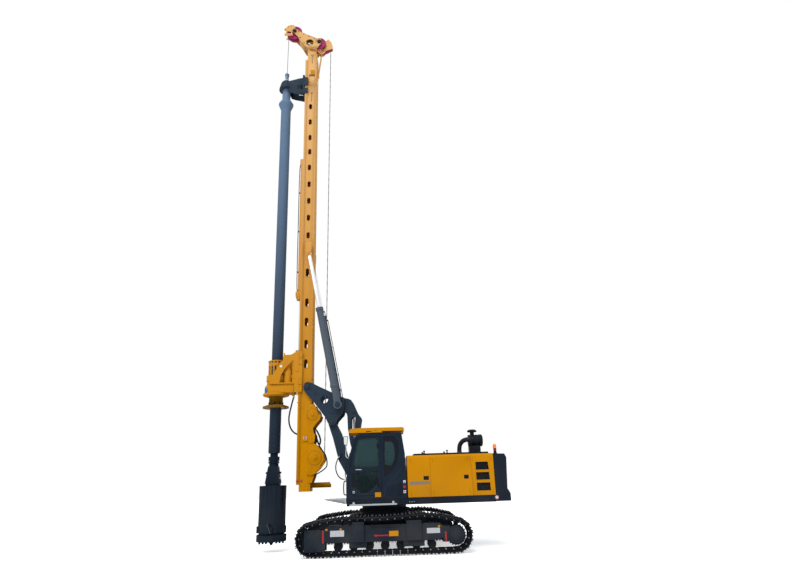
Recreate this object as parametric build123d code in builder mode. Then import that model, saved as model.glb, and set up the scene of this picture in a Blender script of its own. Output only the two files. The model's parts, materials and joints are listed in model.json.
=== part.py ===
"""Rotary piling rig: a crawler-mounted drilling rig with a hinged mast.

Frame: +X forward (towards the drilling tool), +Y to the operator's left (the
cab side), +Z up. The origin is on the ground, on the slewing axis. Lengths are
in millimetres.
"""
import math
import os

from build123d import *

# ---------------------------------------------------------------- driving sizes
# Crawler undercarriage
TRACK_CENTRE_Y = 1750
SHOE_WIDTH = 700
WHEEL_X = 1930
WHEEL_Z = 455
SHOE_RADIUS = 415
GROUSER = WHEEL_Z - SHOE_RADIUS
SHOE_COUNT = 51
SHOE_THICKNESS = 25
CHAIN_DEPTH = 105
CHAIN_WIDTH = 260
FRAME_INNER_Y = 1540
FRAME_OUTER_Y = 1990
CROSS_BEAMS = ((530, 840), (-1000, -600))

# Upper structure
DECK_BOTTOM = 1230
DECK_TOP = 1410
SIDE_Y = 1450
DECK_FRONT = 1030
HOOD_FRONT = -690
HOOD_REAR = -3150
HOOD_TOP = 2540
TAIL_X = -3570
CAB_INNER_Y = 500
CAB_WALL = 45
SLEW_RADIUS = 700

# Luffing parallelogram, as (x, z) of each pin
BOOM_FOOT = (670, 2260)
BOOM_HEAD = (1360, 4140)
LINK_FOOT = (860, 1740)
LINK_HEAD = (1550, 3620)
LUFF_FOOT = (800, 1560)
LUFF_EYE = (890, 3950)
MAST_PIN = (2330, 4750)
MAST_EYE = (2330, 9200)
RAM_Y = 550
PIN_GAP = 2

# Mast
MAST_REAR = 2200
MAST_FRONT = 2540
MAST_HALF = 300
MAST_WALL = 25
MAST_BOTTOM = 1640
MAST_TOP = 17500
RAIL_FRONT = 2620
RAIL_OUT = 330
RAIL_IN = 230
SLOT_HEIGHTS_UPPER = (15120, 14460, 13800, 13210, 12570, 11900, 11250, 10600, 9940)
SLOT_HEIGHTS_LOWER = (8580, 7530, 6870, 6130, 5490)
MAIN_DRUM = (2070, 2600)
AUX_DRUM = (2150, 3895)
FRONT_SHEAVE = (3080, 18620)
REAR_SHEAVE = (1950, 18030)
SIDE_SHEAVE = (2113, 18090)
SHEAVE_RADIUS = 290

# Drilling line
KELLY_X = 3360
KELLY_RADIUS = 180
KELLY_BORE = 100
KELLY_BOTTOM = 2880
KELLY_TOP = 15170
SLEEVE_BORE = 190
BUCKET_RADIUS = 400
CROWD_X = 2660
CROWD_RADIUS = 98
CROWD_ROD = 38

os.makedirs("parts", exist_ok=True)


# ---------------------------------------------------------------- shape helpers
def side_plane(y):
    """The XZ plane at Y = y. Its normal is -Y, so an extrusion grows towards -Y."""
    return Plane.XZ.offset(-y)


def plate(points, y_low, y_high, mode=Mode.ADD):
    """A plate with the given (x, z) outline, between two Y values."""
    with BuildSketch(side_plane(y_high)) as outline:
        with BuildLine():
            Polyline(*points, close=True)
        make_face()
    extrude(outline.sketch, amount=y_high - y_low, mode=mode)


def loop(outer, inner, y_low, y_high):
    """A closed band between two (x, z) outlines, between two Y values."""
    with BuildSketch(side_plane(y_high)) as band:
        for points, mode in ((outer, Mode.ADD), (inner, Mode.SUBTRACT)):
            with BuildLine():
                Polyline(*points, close=True)
            make_face(mode=mode)
    extrude(band.sketch, amount=y_high - y_low)


def both_sides(points, y_inner, y_outer, mode=Mode.ADD):
    """The same plate on the left and on the right."""
    plate(points, y_inner, y_outer, mode)
    plate(points, -y_outer, -y_inner, mode)


def block(x, y, z, mode=Mode.ADD):
    """A box between the (low, high) pairs x, y and z."""
    with Locations(((x[0] + x[1]) / 2, (y[0] + y[1]) / 2, (z[0] + z[1]) / 2)):
        Box(x[1] - x[0], y[1] - y[0], z[1] - z[0], mode=mode)


def both_blocks(x, y, z, mode=Mode.ADD):
    """The same box on the left and on the right."""
    block(x, y, z, mode)
    block(x, (-y[1], -y[0]), z, mode)


def cross_bar(centre, radius, y_low, y_high, mode=Mode.ADD):
    """A round bar along Y through the (x, z) centre."""
    with BuildSketch(side_plane(y_high)) as disc:
        with Locations(centre):
            Circle(radius)
    extrude(disc.sketch, amount=y_high - y_low, mode=mode)


def both_bars(centre, radius, y_inner, y_outer, mode=Mode.ADD):
    """The same cross bar on the left and on the right."""
    cross_bar(centre, radius, y_inner, y_outer, mode)
    cross_bar(centre, radius, -y_outer, -y_inner, mode)


def post(x, y, radius, z_low, z_high, mode=Mode.ADD):
    """A vertical round post."""
    with BuildSketch(Plane.XY.offset(z_low)) as disc:
        with Locations((x, y)):
            Circle(radius)
    extrude(disc.sketch, amount=z_high - z_low, mode=mode)


def rod(start, end, radius, mode=Mode.ADD):
    """A round rod between two points in space."""
    run = Vector(*end) - Vector(*start)
    with BuildSketch(Plane(origin=start, z_dir=run)) as disc:
        Circle(radius)
    extrude(disc.sketch, amount=run.length, mode=mode)


def turned(profile, x, y=0, mode=Mode.ADD):
    """A body turned about the vertical line at (x, y), from (radius, z) points."""
    with BuildSketch(Plane(origin=(x, y, 0), x_dir=(1, 0, 0), z_dir=(0, -1, 0))) as half:
        with BuildLine():
            Polyline(*profile, close=True)
        make_face()
    revolve(half.sketch, axis=Axis((x, y, 0), (0, 0, 1)), mode=mode)


def wheel(centre, profile, mode=Mode.ADD):
    """A body turned about the line along Y through (x, z), from (radius, y) points."""
    x, z = centre
    with BuildSketch(Plane.XY.offset(z)) as half:
        with BuildLine():
            Polyline(*((x + radius, y) for radius, y in profile), close=True)
        make_face()
    revolve(half.sketch, axis=Axis((x, 0, z), (0, 1, 0)), mode=mode)


def hose(points, radius):
    """A round hose along a route of points, its corners rounded as far as the runs allow.

    Returns the radius of each bend.
    """
    route = [Vector(*p) for p in points]
    bends = []
    for before, corner, after in zip(route, route[1:], route[2:]):
        half_turn = math.radians((corner - before).get_angle(after - corner)) / 2
        bends.append(0.45 * min((corner - before).length, (after - corner).length) / math.tan(half_turn))
    with BuildLine() as line:
        FilletPolyline(*points, radius=bends)
    with BuildSketch(Plane(origin=route[0], z_dir=route[1] - route[0])) as ring:
        Circle(radius)
    sweep(ring.sketch, path=line.wire())
    return bends


def save(part, name):
    """Label a finished piece and write its file."""
    part.label = name
    export_step(part, f"parts/{name}.step")


# ---------------------------------------------------------------- crawler tracks
# The line that the shoes' outer faces follow: top run as (x, z), front to rear.
TOP_RUN = ((1930, 870), (1150, 968), (550, 962), (-50, 958), (-600, 984), (-1100, 1010), (-1500, 975),
           (-1930, 870))


def wheel_arc(x, start, end, steps):
    """Points round a track wheel from the start to the end angle, in degrees."""
    turn = (end - start) / steps
    angles = [math.radians(start + turn * step) for step in range(1, steps)]
    return [(x + SHOE_RADIUS * math.cos(a), WHEEL_Z + SHOE_RADIUS * math.sin(a)) for a in angles]


def track_line():
    """The closed line of the shoes' outer faces, clockwise seen from -Y."""
    ground = WHEEL_Z - SHOE_RADIUS
    rear = wheel_arc(-WHEEL_X, 90, 270, 18)
    front = wheel_arc(WHEEL_X, -90, 90, 18)
    return list(TOP_RUN) + rear + [(-WHEEL_X, ground), (WHEEL_X, ground)] + front


def pins_along(line, count):
    """Evenly spaced (x, z) points along a closed line: the chain's pins."""
    runs = list(zip(line, line[1:] + line[:1]))
    pitch = sum(math.dist(a, b) for a, b in runs) / count
    pins = []
    travelled = 0.0
    for a, b in runs:
        length = math.dist(a, b)
        while len(pins) < count and len(pins) * pitch < travelled + length:
            share = (len(pins) * pitch - travelled) / length
            pins.append((a[0] + share * (b[0] - a[0]), a[1] + share * (b[1] - a[1])))
        travelled += length
    return pins


PINS = pins_along(track_line(), SHOE_COUNT)
# One shoe with three grousers, as (share of its length from its middle, share of the grouser's height).
SHOE_SHAPE = ((-0.47, 0), (-0.43, 1), (-0.33, 0), (-0.06, 0), (0, 1), (0.06, 0), (0.33, 0), (0.43, 1),
              (0.47, 0))


def track_outline(shape, depth):
    """A shape repeated on each shoe, from pin to pin, moved inwards by depth."""
    outline = []
    for (ax, az), (bx, bz) in zip(PINS, PINS[1:] + PINS[:1]):
        for along, out in shape:
            rise = (out * GROUSER - depth) / math.dist((ax, az), (bx, bz))
            share = 0.5 + along
            outline.append((ax + share * (bx - ax) + rise * (bz - az),
                            az + share * (bz - az) - rise * (bx - ax)))
    return outline


FLAT_SHOE = ((-0.4, 0), (0.4, 0))
MIDDLE_ONLY = ((0, 0),)

for side, sign in (("left", 1), ("right", -1)):
    shoe_span = sorted((sign * (TRACK_CENTRE_Y - SHOE_WIDTH / 2), sign * (TRACK_CENTRE_Y + SHOE_WIDTH / 2)))
    chain_span = sorted((sign * (TRACK_CENTRE_Y - CHAIN_WIDTH / 2),
                         sign * (TRACK_CENTRE_Y + CHAIN_WIDTH / 2)))
    shoe_inside = track_outline(FLAT_SHOE, SHOE_THICKNESS)
    with BuildPart() as track:
        loop(track_outline(SHOE_SHAPE, 0), shoe_inside, *shoe_span)
        loop(track_outline(FLAT_SHOE, SHOE_THICKNESS - 5), track_outline(MIDDLE_ONLY, CHAIN_DEPTH),
             *chain_span)
    save(track.part, f"track_{side}")

# ---------------------------------------------------------------- track frames and wheels
FRAME_OUTLINE = ((-1600, 420), (-1600, 690), (-1450, 770), (1480, 770), (1600, 690), (1600, 400),
                 (1480, 360), (-1450, 360))
ROLLER_X = (-1270, -853, -436, -20, 397, 813, 1230)
ROLLER_RADIUS = 98
ROLLER_Z = 250
CARRIERS = ((-1100, 860), (1120, 812))
DRUM_RADIUS = 282
IDLER_HALF = 85
HUB_RADIUS = 190

# The sprocket's outline: teeth as (share of the pitch, radius).
TEETH_SHAPE = ((-0.2, 256), (-0.1, 282), (0.1, 282), (0.2, 256))
SPROCKET_TEETH = 21
SPROCKET = [(-WHEEL_X + radius * math.cos(turn), WHEEL_Z + radius * math.sin(turn))
            for tooth in range(SPROCKET_TEETH) for share, radius in TEETH_SHAPE
            for turn in (math.tau * (tooth + share) / SPROCKET_TEETH,)]

for side, sign in (("left", 1), ("right", -1)):
    def span(low, high, sign=sign):
        """Two distances from the middle plane as a (low, high) pair on this side."""
        return sorted((sign * low, sign * high))

    with BuildPart() as frame:
        plate(FRAME_OUTLINE, *span(FRAME_INNER_Y, FRAME_OUTER_Y))
        for low, high in CROSS_BEAMS:
            block((low, high), span(FRAME_OUTER_Y, 2050), (370, 860))
            block((low - 70, high + 90), span(FRAME_OUTER_Y - 90, FRAME_OUTER_Y - 20), (215, 400))
        # idler yoke and final drive carrier: one cheek outside the chain, one inside
        for cheek in ((FRAME_OUTER_Y - 60, FRAME_OUTER_Y), (FRAME_INNER_Y, FRAME_INNER_Y + 50)):
            block((1560, 2120), span(*cheek), (150, 690))
            block((-1760, -1560), span(*cheek), (300, 690))
            cross_bar((-WHEEL_X, WHEEL_Z), 240, *span(*cheek))
    save(frame.part, f"track_frame_{side}")

    with BuildPart() as wheels:
        cross_bar((WHEEL_X, WHEEL_Z), DRUM_RADIUS,
                  *span(TRACK_CENTRE_Y - IDLER_HALF, TRACK_CENTRE_Y + IDLER_HALF))
        cross_bar((-WHEEL_X, WHEEL_Z), DRUM_RADIUS - 28,
                  *span(TRACK_CENTRE_Y - IDLER_HALF, TRACK_CENTRE_Y + IDLER_HALF))
        plate(SPROCKET, *span(TRACK_CENTRE_Y - 30, TRACK_CENTRE_Y + 30))
        for x in ROLLER_X:
            cross_bar((x, ROLLER_Z), ROLLER_RADIUS, *span(1640, 1860))
        for x, z in CARRIERS:
            cross_bar((x, z), 38, *span(1690, 1810))
    save(wheels.part, f"track_wheels_{side}")

with BuildPart() as final_drives:
    both_bars((-WHEEL_X, WHEEL_Z), HUB_RADIUS, FRAME_OUTER_Y + 1, 2055)
    both_bars((-WHEEL_X, WHEEL_Z), 130, 2050, 2075)
save(final_drives.part, "final_drive_covers")

# ---------------------------------------------------------------- car body
TOW_EYE = 40
with BuildPart() as car_body:
    block((-1150, 1000), (-760, 760), (480, 960))
    for low, high in CROSS_BEAMS:
        block((low, high), (1 - FRAME_INNER_Y, FRAME_INNER_Y - 1), (430, 840))
    post(0, 0, SLEW_RADIUS + 30, 960, 1110)
    for low, high, eye in ((990, 1165, 1115), (-1315, -1140, -1265)):
        block((low, high), (-80, 80), (570, 630))
        post(eye, 0, TOW_EYE, 569, 631, Mode.SUBTRACT)
save(car_body.part, "car_body")

# ---------------------------------------------------------------- deck
with BuildPart() as deck:
    block((HOOD_REAR, DECK_FRONT), (-SIDE_Y, SIDE_Y), (DECK_BOTTOM, DECK_TOP))
    post(0, 0, SLEW_RADIUS - 40, 1115, DECK_BOTTOM + 10)
save(deck.part, "deck")

TOWER_OUTLINE = ((400, 1410), (1020, 1410), (1020, 1800), (800, 2390), (560, 2390), (400, 1900))
with BuildPart() as tower:
    both_sides(TOWER_OUTLINE, 310, 360)
    both_bars(BOOM_FOOT, 60, 170, 312)
    both_bars(LINK_FOOT, 50, 170, 312)
    both_sides(((680, 1410), (920, 1410), (880, 1620), (720, 1620)), 60, 90)
    block((1000, 1110), (311, 355), (1890, 1925))
    block((960, 1021), (311, 355), (1750, 1925))
    cross_bar(LUFF_FOOT, 40, -62, 62)
save(tower.part, "boom_tower")

# ---------------------------------------------------------------- cab
CAB_REAR_LEAN = ((-560, 3143), (-637, 2586), (-660, 1413))
CAB_OUTLINE = ((1040, 1412), (1042, 1915), (971, 2500), (812, 3066), (672, 3189), (-535, 3195),
               *CAB_REAR_LEAN)
CAB_INSIDE = ((995, 1460), (997, 1915), (927, 2490), (772, 3046), (650, 3145), (-500, 3150), (-515, 3120),
              (-592, 2586), (-615, 1460))
DOOR_OUTLINE = ((60, 1500), (800, 1500), (958, 1640), (958, 1960), (897, 2480), (750, 3010), (650, 3095),
                (60, 3095))
DOOR_UPPER = ((708, 3029), (568, 3062), (167, 3062), (114, 2994), (114, 2294), (183, 2247), (750, 2232),
              (843, 2317), (816, 2564))
DOOR_LOWER = ((905, 2122), (580, 2106), (476, 2158), (116, 2163), (115, 1822), (417, 1560), (637, 1560),
              (771, 1713), (907, 1734))
QUARTER = ((-25, 3092), (-322, 3083), (-440, 2961), (-466, 2658), (-405, 2361), (-278, 2151), (-51, 1971),
           (-22, 2208))
RIGHT_WINDOW = ((780, 3010), (-440, 3050), (-500, 2550), (-500, 2080), (900, 2080), (880, 2480))
DOOR_GAP = 8
DOOR_HINGE = (52, 1455)
HINGE_RADIUS = 16
HINGE_HEIGHT = 120
HINGE_HEIGHTS = (1700, 2780)
GLASS = 10
CAB_Y = (CAB_INNER_Y, SIDE_Y)
LOUVRES = 9
LOUVRE_LOW = 1452
LOUVRE_PITCH = 40


def grown(points, amount):
    """An outline's points moved out from its middle by about amount."""
    middle = (sum(x for x, _ in points) / len(points), sum(z for _, z in points) / len(points))
    return [(x + amount * math.copysign(1, x - middle[0]), z + amount * math.copysign(1, z - middle[1]))
            for x, z in points]


with BuildPart() as cab_shell:
    plate(CAB_OUTLINE, *CAB_Y)
    plate(CAB_INSIDE, CAB_INNER_Y + CAB_WALL, SIDE_Y - CAB_WALL, Mode.SUBTRACT)
    plate(grown(DOOR_OUTLINE, DOOR_GAP), SIDE_Y - CAB_WALL - 1, SIDE_Y + 1, Mode.SUBTRACT)
    plate(QUARTER, SIDE_Y - CAB_WALL - 1, SIDE_Y + 1, Mode.SUBTRACT)
    for z in HINGE_HEIGHTS:
        post(*DOOR_HINGE, HINGE_RADIUS + 8, z - 8, z + HINGE_HEIGHT + 8, Mode.SUBTRACT)
    plate(RIGHT_WINDOW, CAB_INNER_Y - 1, CAB_INNER_Y + CAB_WALL + 1, Mode.SUBTRACT)
    block((700, 1100), (CAB_INNER_Y + 90, SIDE_Y - 90), (1960, 2990), Mode.SUBTRACT)
    block((900, 1100), (CAB_INNER_Y + 90, SIDE_Y - 90), (1560, 1880), Mode.SUBTRACT)
    block((-700, -500), (CAB_INNER_Y + 110, SIDE_Y - 110), (2150, 3020), Mode.SUBTRACT)
    for step in range(LOUVRES):
        z = LOUVRE_LOW + step * LOUVRE_PITCH
        front = -80 if z < 1640 else -80 - (z - 1640) * 1.16
        plate(((-385, z), (front, z), (front - 8, z + 20), (-385, z + 20)), SIDE_Y - 1, SIDE_Y + 9)
        block((-536, -402), (SIDE_Y - 14, SIDE_Y + 1), (z, z + 20), Mode.SUBTRACT)
save(cab_shell.part, "cab_shell")

with BuildPart() as cab_visor:
    plate(((960, 3210), (965, 3270), (900, 3325), (600, 3345), (-600, 3335), (-640, 3290), (-625, 3200)),
          CAB_INNER_Y - 15, SIDE_Y + 20)
    plate(((972, 3195), (-700, 3195), (-700, 3215), (960, 3240)), CAB_INNER_Y + 25, SIDE_Y - 20,
          Mode.SUBTRACT)
save(cab_visor.part, "cab_visor")

with BuildPart() as cab_glass:
    plate(QUARTER, SIDE_Y - 30, SIDE_Y - 30 + GLASS)
    plate(RIGHT_WINDOW, CAB_INNER_Y + 20, CAB_INNER_Y + 20 + GLASS)
    front_glass = ((1014, 1970), (955, 2495), (820, 2985), (830, 2985), (966, 2497), (1026, 1970))
    plate(front_glass, CAB_INNER_Y + 91, SIDE_Y - 91)
    block((1008, 1018), (CAB_INNER_Y + 91, SIDE_Y - 91), (1561, 1879))
    plate(((-640, 2155), (-628, 2155), (-600, 2600), (-555, 3015), (-567, 3015), (-614, 2600)),
          CAB_INNER_Y + 111, SIDE_Y - 111)
save(cab_glass.part, "cab_glass")

with BuildPart() as cab_seat:
    block((-300, 130), (780, 1160), (1462, 1690))
    block((-330, 210), (720, 1220), (1691, 1855))
    plate(((-240, 1856), (-380, 1856), (-470, 2420), (-350, 2420)), 730, 1210)
    plate(((-362, 2440), (-462, 2440), (-480, 2640), (-385, 2640)), 860, 1080)
    block((-435, -395), (940, 1000), (2419, 2441))
    for y in (630, 1240):
        block((-240, 200), (y, y + 70), (1860, 1960))
        block((-160, 60), (y + 10, y + 60), (1462, 1861))
        post(150, y + 35, 18, 1958, 2120)
save(cab_seat.part, "cab_seat")

MIRROR_Y = 1250
with BuildPart() as cab_mirror:
    plate(((1128, 3136), (1000, 3132), (1027, 2880), (1114, 2905)), MIRROR_Y - 15, MIRROR_Y + 15)
    hose(((1066, MIRROR_Y, 2895), (1044, 1256, 2790), (1055, 1280, 2690), (1060, 1320, 2610),
          (1030, 1370, 2550), (976, 1400, 2520)), 13)
save(cab_mirror.part, "cab_mirror")

with BuildPart() as handrails:
    hose(((1046, 1385, 1530), (1105, 1385, 1545), (1120, 1385, 1720), (1105, 1385, 1890),
          (1046, 1385, 1905)), 15)
    for x in (-600, 500):
        post(x, -1400, 17, 2300, 3150)
    for z in (2750, 3150):
        rod((-617, -1400, z), (517, -1400, z), 17)
save(handrails.part, "handrails")

with BuildPart() as cab_door:
    plate(DOOR_OUTLINE, SIDE_Y - CAB_WALL, SIDE_Y)
    for z in HINGE_HEIGHTS:
        post(*DOOR_HINGE, HINGE_RADIUS, z, z + HINGE_HEIGHT)
        block((DOOR_HINGE[0], DOOR_HINGE[0] + 40), (SIDE_Y - 10, SIDE_Y + 12), (z, z + HINGE_HEIGHT))
    plate(DOOR_UPPER, SIDE_Y - CAB_WALL - 1, SIDE_Y + 1, Mode.SUBTRACT)
    plate(DOOR_LOWER, SIDE_Y - CAB_WALL - 1, SIDE_Y + 1, Mode.SUBTRACT)
save(cab_door.part, "cab_door")

with BuildPart() as cab_door_glass:
    for pane in (DOOR_UPPER, DOOR_LOWER):
        plate(pane, SIDE_Y - 30, SIDE_Y - 30 + GLASS)
save(cab_door_glass.part, "cab_door_glass")

PLATFORM_REAR = 1044
GRATING = 6
with BuildPart() as front_platform:
    block((PLATFORM_REAR, 1660), (760, 1440), (1411, 1440))
    for step in range(GRATING):
        x = PLATFORM_REAR + 62 + step * 92
        block((x, x + 56), (800, 1400), (1430, 1441), Mode.SUBTRACT)
    bracket = ((PLATFORM_REAR, 1412), (PLATFORM_REAR, 1290), (1500, 1380), (1640, 1412))
    plate(bracket, 780, 820)
    plate(bracket, 1380, 1420)
    block((PLATFORM_REAR, PLATFORM_REAR + 40), (760, 1440), (1300, 1440))
save(front_platform.part, "front_platform")

with BuildPart() as side_step:
    block((-370, 940), (SIDE_Y + 40, SIDE_Y + 150), (1240, 1280))
    for x in (-300, 800):
        block((x, x + 60), (SIDE_Y + 1, SIDE_Y + 60), (1250, 1330))
save(side_step.part, "side_step")

# ---------------------------------------------------------------- right-hand tanks
TANK_OUTLINE = ((-640, 1412), (-640, 2300), (540, 2300), (620, 2240), (620, 1960), (1000, 1900), (1000, 1412))
with BuildPart() as tank_box:
    plate(TANK_OUTLINE, -SIDE_Y, -CAB_INNER_Y)
    plate(((-641, 2240), (-641, 2301), (660, 2301), (660, 2240)), -SIDE_Y - 1, -SIDE_Y + 50, Mode.SUBTRACT)
    for x in (-230, 190, 600):
        block((x - 5, x + 5), (-SIDE_Y - 1, -SIDE_Y + 10), (DECK_TOP + 60, 2200), Mode.SUBTRACT)
    post(350, -800, 55, 2299, 2360)
    for z in (1560, 1720):
        block((620, 980), (-SIDE_Y - 1, -SIDE_Y + 120), (z, z + 90), Mode.SUBTRACT)
save(tank_box.part, "tank_box")

# ---------------------------------------------------------------- engine hood
HOOD_WALL = 40
GRILLES = (((-3010, 2090), (-2630, 2090), (-2630, 2310), (-2990, 2310)),
           ((-3020, 1820), (-2630, 1820), (-2630, 2030), (-3005, 2030)),
           ((-3025, 1530), (-2630, 1530), (-2630, 1750), (-3015, 1750)))
PANEL_GAPS = (-1340, -2510)
HANDLE_POCKETS = ((-1292, -1142), (-2422, -2288))
HOOD_SECTION = ((-SIDE_Y, DECK_TOP + 2), (-SIDE_Y, HOOD_TOP - 60), (-SIDE_Y + 60, HOOD_TOP),
                (SIDE_Y - 60, HOOD_TOP), (SIDE_Y, HOOD_TOP - 60), (SIDE_Y, DECK_TOP + 2))
with BuildPart() as hood:
    with BuildSketch(Plane(origin=(HOOD_REAR, 0, 0), x_dir=(0, 1, 0), z_dir=(1, 0, 0))):
        with BuildLine():
            Polyline(*HOOD_SECTION, close=True)
        make_face()
    extrude(amount=HOOD_FRONT - HOOD_REAR)
    block((HOOD_REAR + HOOD_WALL, HOOD_FRONT - HOOD_WALL), (-SIDE_Y + HOOD_WALL, SIDE_Y - HOOD_WALL),
          (DECK_TOP, HOOD_TOP - HOOD_WALL - 30), Mode.SUBTRACT)
    for x in PANEL_GAPS:
        both_blocks((x - 5, x + 5), (SIDE_Y - 10, SIDE_Y + 1), (DECK_TOP, HOOD_TOP - 60), Mode.SUBTRACT)
    for opening in GRILLES:
        both_sides(opening, SIDE_Y - HOOD_WALL - 1, SIDE_Y + 1, Mode.SUBTRACT)
    for low, high in HANDLE_POCKETS:
        both_blocks((low, high), (SIDE_Y - 22, SIDE_Y + 1), (1862, 1968), Mode.SUBTRACT)
save(hood.part, "hood")

with BuildPart() as hood_deck:
    block((-3100, -900), (-700, 1000), (HOOD_TOP + 1, HOOD_TOP + 60))
save(hood_deck.part, "hood_deck")

SLATS = 5
SLAT_PITCH = 40
with BuildPart() as grilles:
    both_blocks((-3060, -2590), (SIDE_Y - HOOD_WALL - 24, SIDE_Y - HOOD_WALL - 2), (1480, 2360))
    for opening in GRILLES:
        for step in range(SLATS):
            z = opening[0][1] + 12 + step * SLAT_PITCH
            both_blocks((-3012, -2640), (SIDE_Y - HOOD_WALL - 25, SIDE_Y - HOOD_WALL - 1), (z, z + 22),
                        Mode.SUBTRACT)
save(grilles.part, "hood_grilles")

with BuildPart() as engine:
    block((-2400, -900), (-450, 450), (DECK_TOP + 2, 2250))
save(engine.part, "engine_block")

COUNTERWEIGHT = ((-3160, 1240), (-3570, 1240), (-3570, 1450), (-3490, 1570), (-3530, 2410), (-3480, 2515),
                 (-3160, 2525))
with BuildPart() as counterweight:
    plate(COUNTERWEIGHT, -SIDE_Y, SIDE_Y)
save(counterweight.part, "counterweight")

AIR_CLEANER_Y = 600
AIR_CLEANER_Z = 2945
with BuildPart() as air_cleaner:
    block((-2920, -2590), (AIR_CLEANER_Y - 150, AIR_CLEANER_Y + 150), (HOOD_TOP + 61, 2790))
    # drum lying along X, its rear cap and the band round it, as (x from, x to, radius)
    for low, high, radius in ((-2900, -2580, 168), (-2985, -2890, 176), (-3005, -2980, 150),
                              (-2760, -2730, 178)):
        rod((low, AIR_CLEANER_Y, AIR_CLEANER_Z), (high, AIR_CLEANER_Y, AIR_CLEANER_Z), radius)
    rod((-2950, AIR_CLEANER_Y + 120, 2860), (-2950, AIR_CLEANER_Y + 150, 2780), 26)
    post(-2710, AIR_CLEANER_Y, 62, 3090, 3205)
    turned(((0, 3195), (125, 3190), (145, 3205), (140, 3235), (100, 3265), (0, 3275)), -2710, AIR_CLEANER_Y)
    hose(((-2590, AIR_CLEANER_Y, 2985), (-2460, AIR_CLEANER_Y, 2975), (-2345, AIR_CLEANER_Y, 2880),
          (-2296, AIR_CLEANER_Y, 2750), (-2296, AIR_CLEANER_Y, HOOD_TOP + 61)), 62)
save(air_cleaner.part, "air_cleaner")

with BuildPart() as beacon:
    turned(((0, 2526), (58, 2526), (58, 2560), (44, 2575), (44, 2690), (0, 2690)), -3315, 900)
    turned(((0, 2688), (52, 2688), (52, 2700), (46, 2780), (30, 2815), (0, 2820)), -3315, 900)
save(beacon.part, "beacon")

with BuildPart() as exhaust:
    turned(((0, HOOD_TOP + 1), (105, HOOD_TOP + 1), (105, HOOD_TOP + 15), (70, HOOD_TOP + 25), (70, 2645),
            (0, 2645)), -1500, -1150)
    rod((-1500, -1150, 2600), (-1690, -1150, 2625), 52)
    rod((-1560, -1150, 2608), (-1700, -1150, 2627), 42, Mode.SUBTRACT)
save(exhaust.part, "exhaust_pipe")

# ---------------------------------------------------------------- luffing parallelogram
BOOM_PLATE = ((560, 2200), (600, 2700), (694, 3430), (650, 3700), (644, 3748), (721, 3842), (812, 4029),
              (880, 4190), (967, 4312), (1060, 4352), (1172, 4371), (1290, 4330), (1420, 4240),
              (1450, 4110), (1360, 4020), (1190, 3990), (1110, 3931), (1080, 3790), (1065, 3430),
              (1000, 3000), (850, 2500), (790, 2200), (740, 2140), (610, 2140))
BOOM_WINDOW = ((830, 3780), (955, 3780), (956, 3430), (880, 3000), (790, 2660), (750, 2660), (780, 3000),
               (846, 3430))
with BuildPart() as boom:
    both_sides(BOOM_PLATE, 190, 290)
    both_sides(BOOM_WINDOW, 189, 291, Mode.SUBTRACT)
    plate(((1050, 4250), (1070, 4345), (1172, 4365), (1280, 4325), (1250, 4230)), -195, 195)
    plate(((835, 4084), (880, 4190), (967, 4312), (1060, 4352), (1068, 4325), (980, 4290), (900, 4180),
           (857, 4075)), -195, 195)
    plate(((618, 2800), (650, 2800), (705, 3300), (685, 3300)), -195, 195)
    both_bars(BOOM_FOOT, 60 + PIN_GAP, 180, 300, Mode.SUBTRACT)
    both_bars(BOOM_HEAD, 60 + PIN_GAP, 180, 300, Mode.SUBTRACT)
save(boom.part, "boom")


def along(start, end, distance, offset):
    """The (x, z) point a distance along the line from start to end, offset to its right."""
    length = math.dist(start, end)
    ux, uz = (end[0] - start[0]) / length, (end[1] - start[1]) / length
    return (start[0] + distance * ux + offset * uz, start[1] + distance * uz - offset * ux)


# Hose from the front link's side down to the tower's front.
BOOM_HOSE = ((1318, 332, 2631), (1385, 332, 2520), (1432, 332, 2380), (1432, 332, 2225), (1380, 332, 2080),
             (1280, 332, 1975), (1185, 332, 1948), (1117, 332, 1948))
BOOM_HOSE_RADIUS = 16
with BuildPart() as boom_hose:
    bends = hose(BOOM_HOSE, BOOM_HOSE_RADIUS)
print("boom_hose bends", [round(b) for b in bends])
save(boom_hose.part, "boom_hose")

LINK_LENGTH = math.dist(LINK_FOOT, LINK_HEAD)
# Each point as (distance from the foot pin, offset forward of the pins' line).
LINK_PLATE = [along(LINK_FOOT, LINK_HEAD, *p)
              for p in ((-90, 0), (-60, 70), (0, 100), (300, 115), (566, 144), (868, 195), (1573, 132),
                        (LINK_LENGTH, 120), (LINK_LENGTH + 55, 90), (LINK_LENGTH + 90, 0),
                        (LINK_LENGTH + 60, -70), (1929, -111), (1623, -147), (1560, -141), (942, -92),
                        (300, -105), (0, -100), (-60, -70))]
with BuildPart() as front_link:
    both_sides(LINK_PLATE, 190, 290)
    rod((*along(LINK_FOOT, LINK_HEAD, 1000, 30)[:1], -195, along(LINK_FOOT, LINK_HEAD, 1000, 30)[1]),
        (*along(LINK_FOOT, LINK_HEAD, 1000, 30)[:1], 195, along(LINK_FOOT, LINK_HEAD, 1000, 30)[1]), 70)
    both_bars(LINK_FOOT, 50 + PIN_GAP, 180, 300, Mode.SUBTRACT)
    both_bars(LINK_HEAD, 50 + PIN_GAP, 180, 300, Mode.SUBTRACT)
    block((1270, 1340), (289, 360), (2641, 2690))
save(front_link.part, "front_link")

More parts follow.
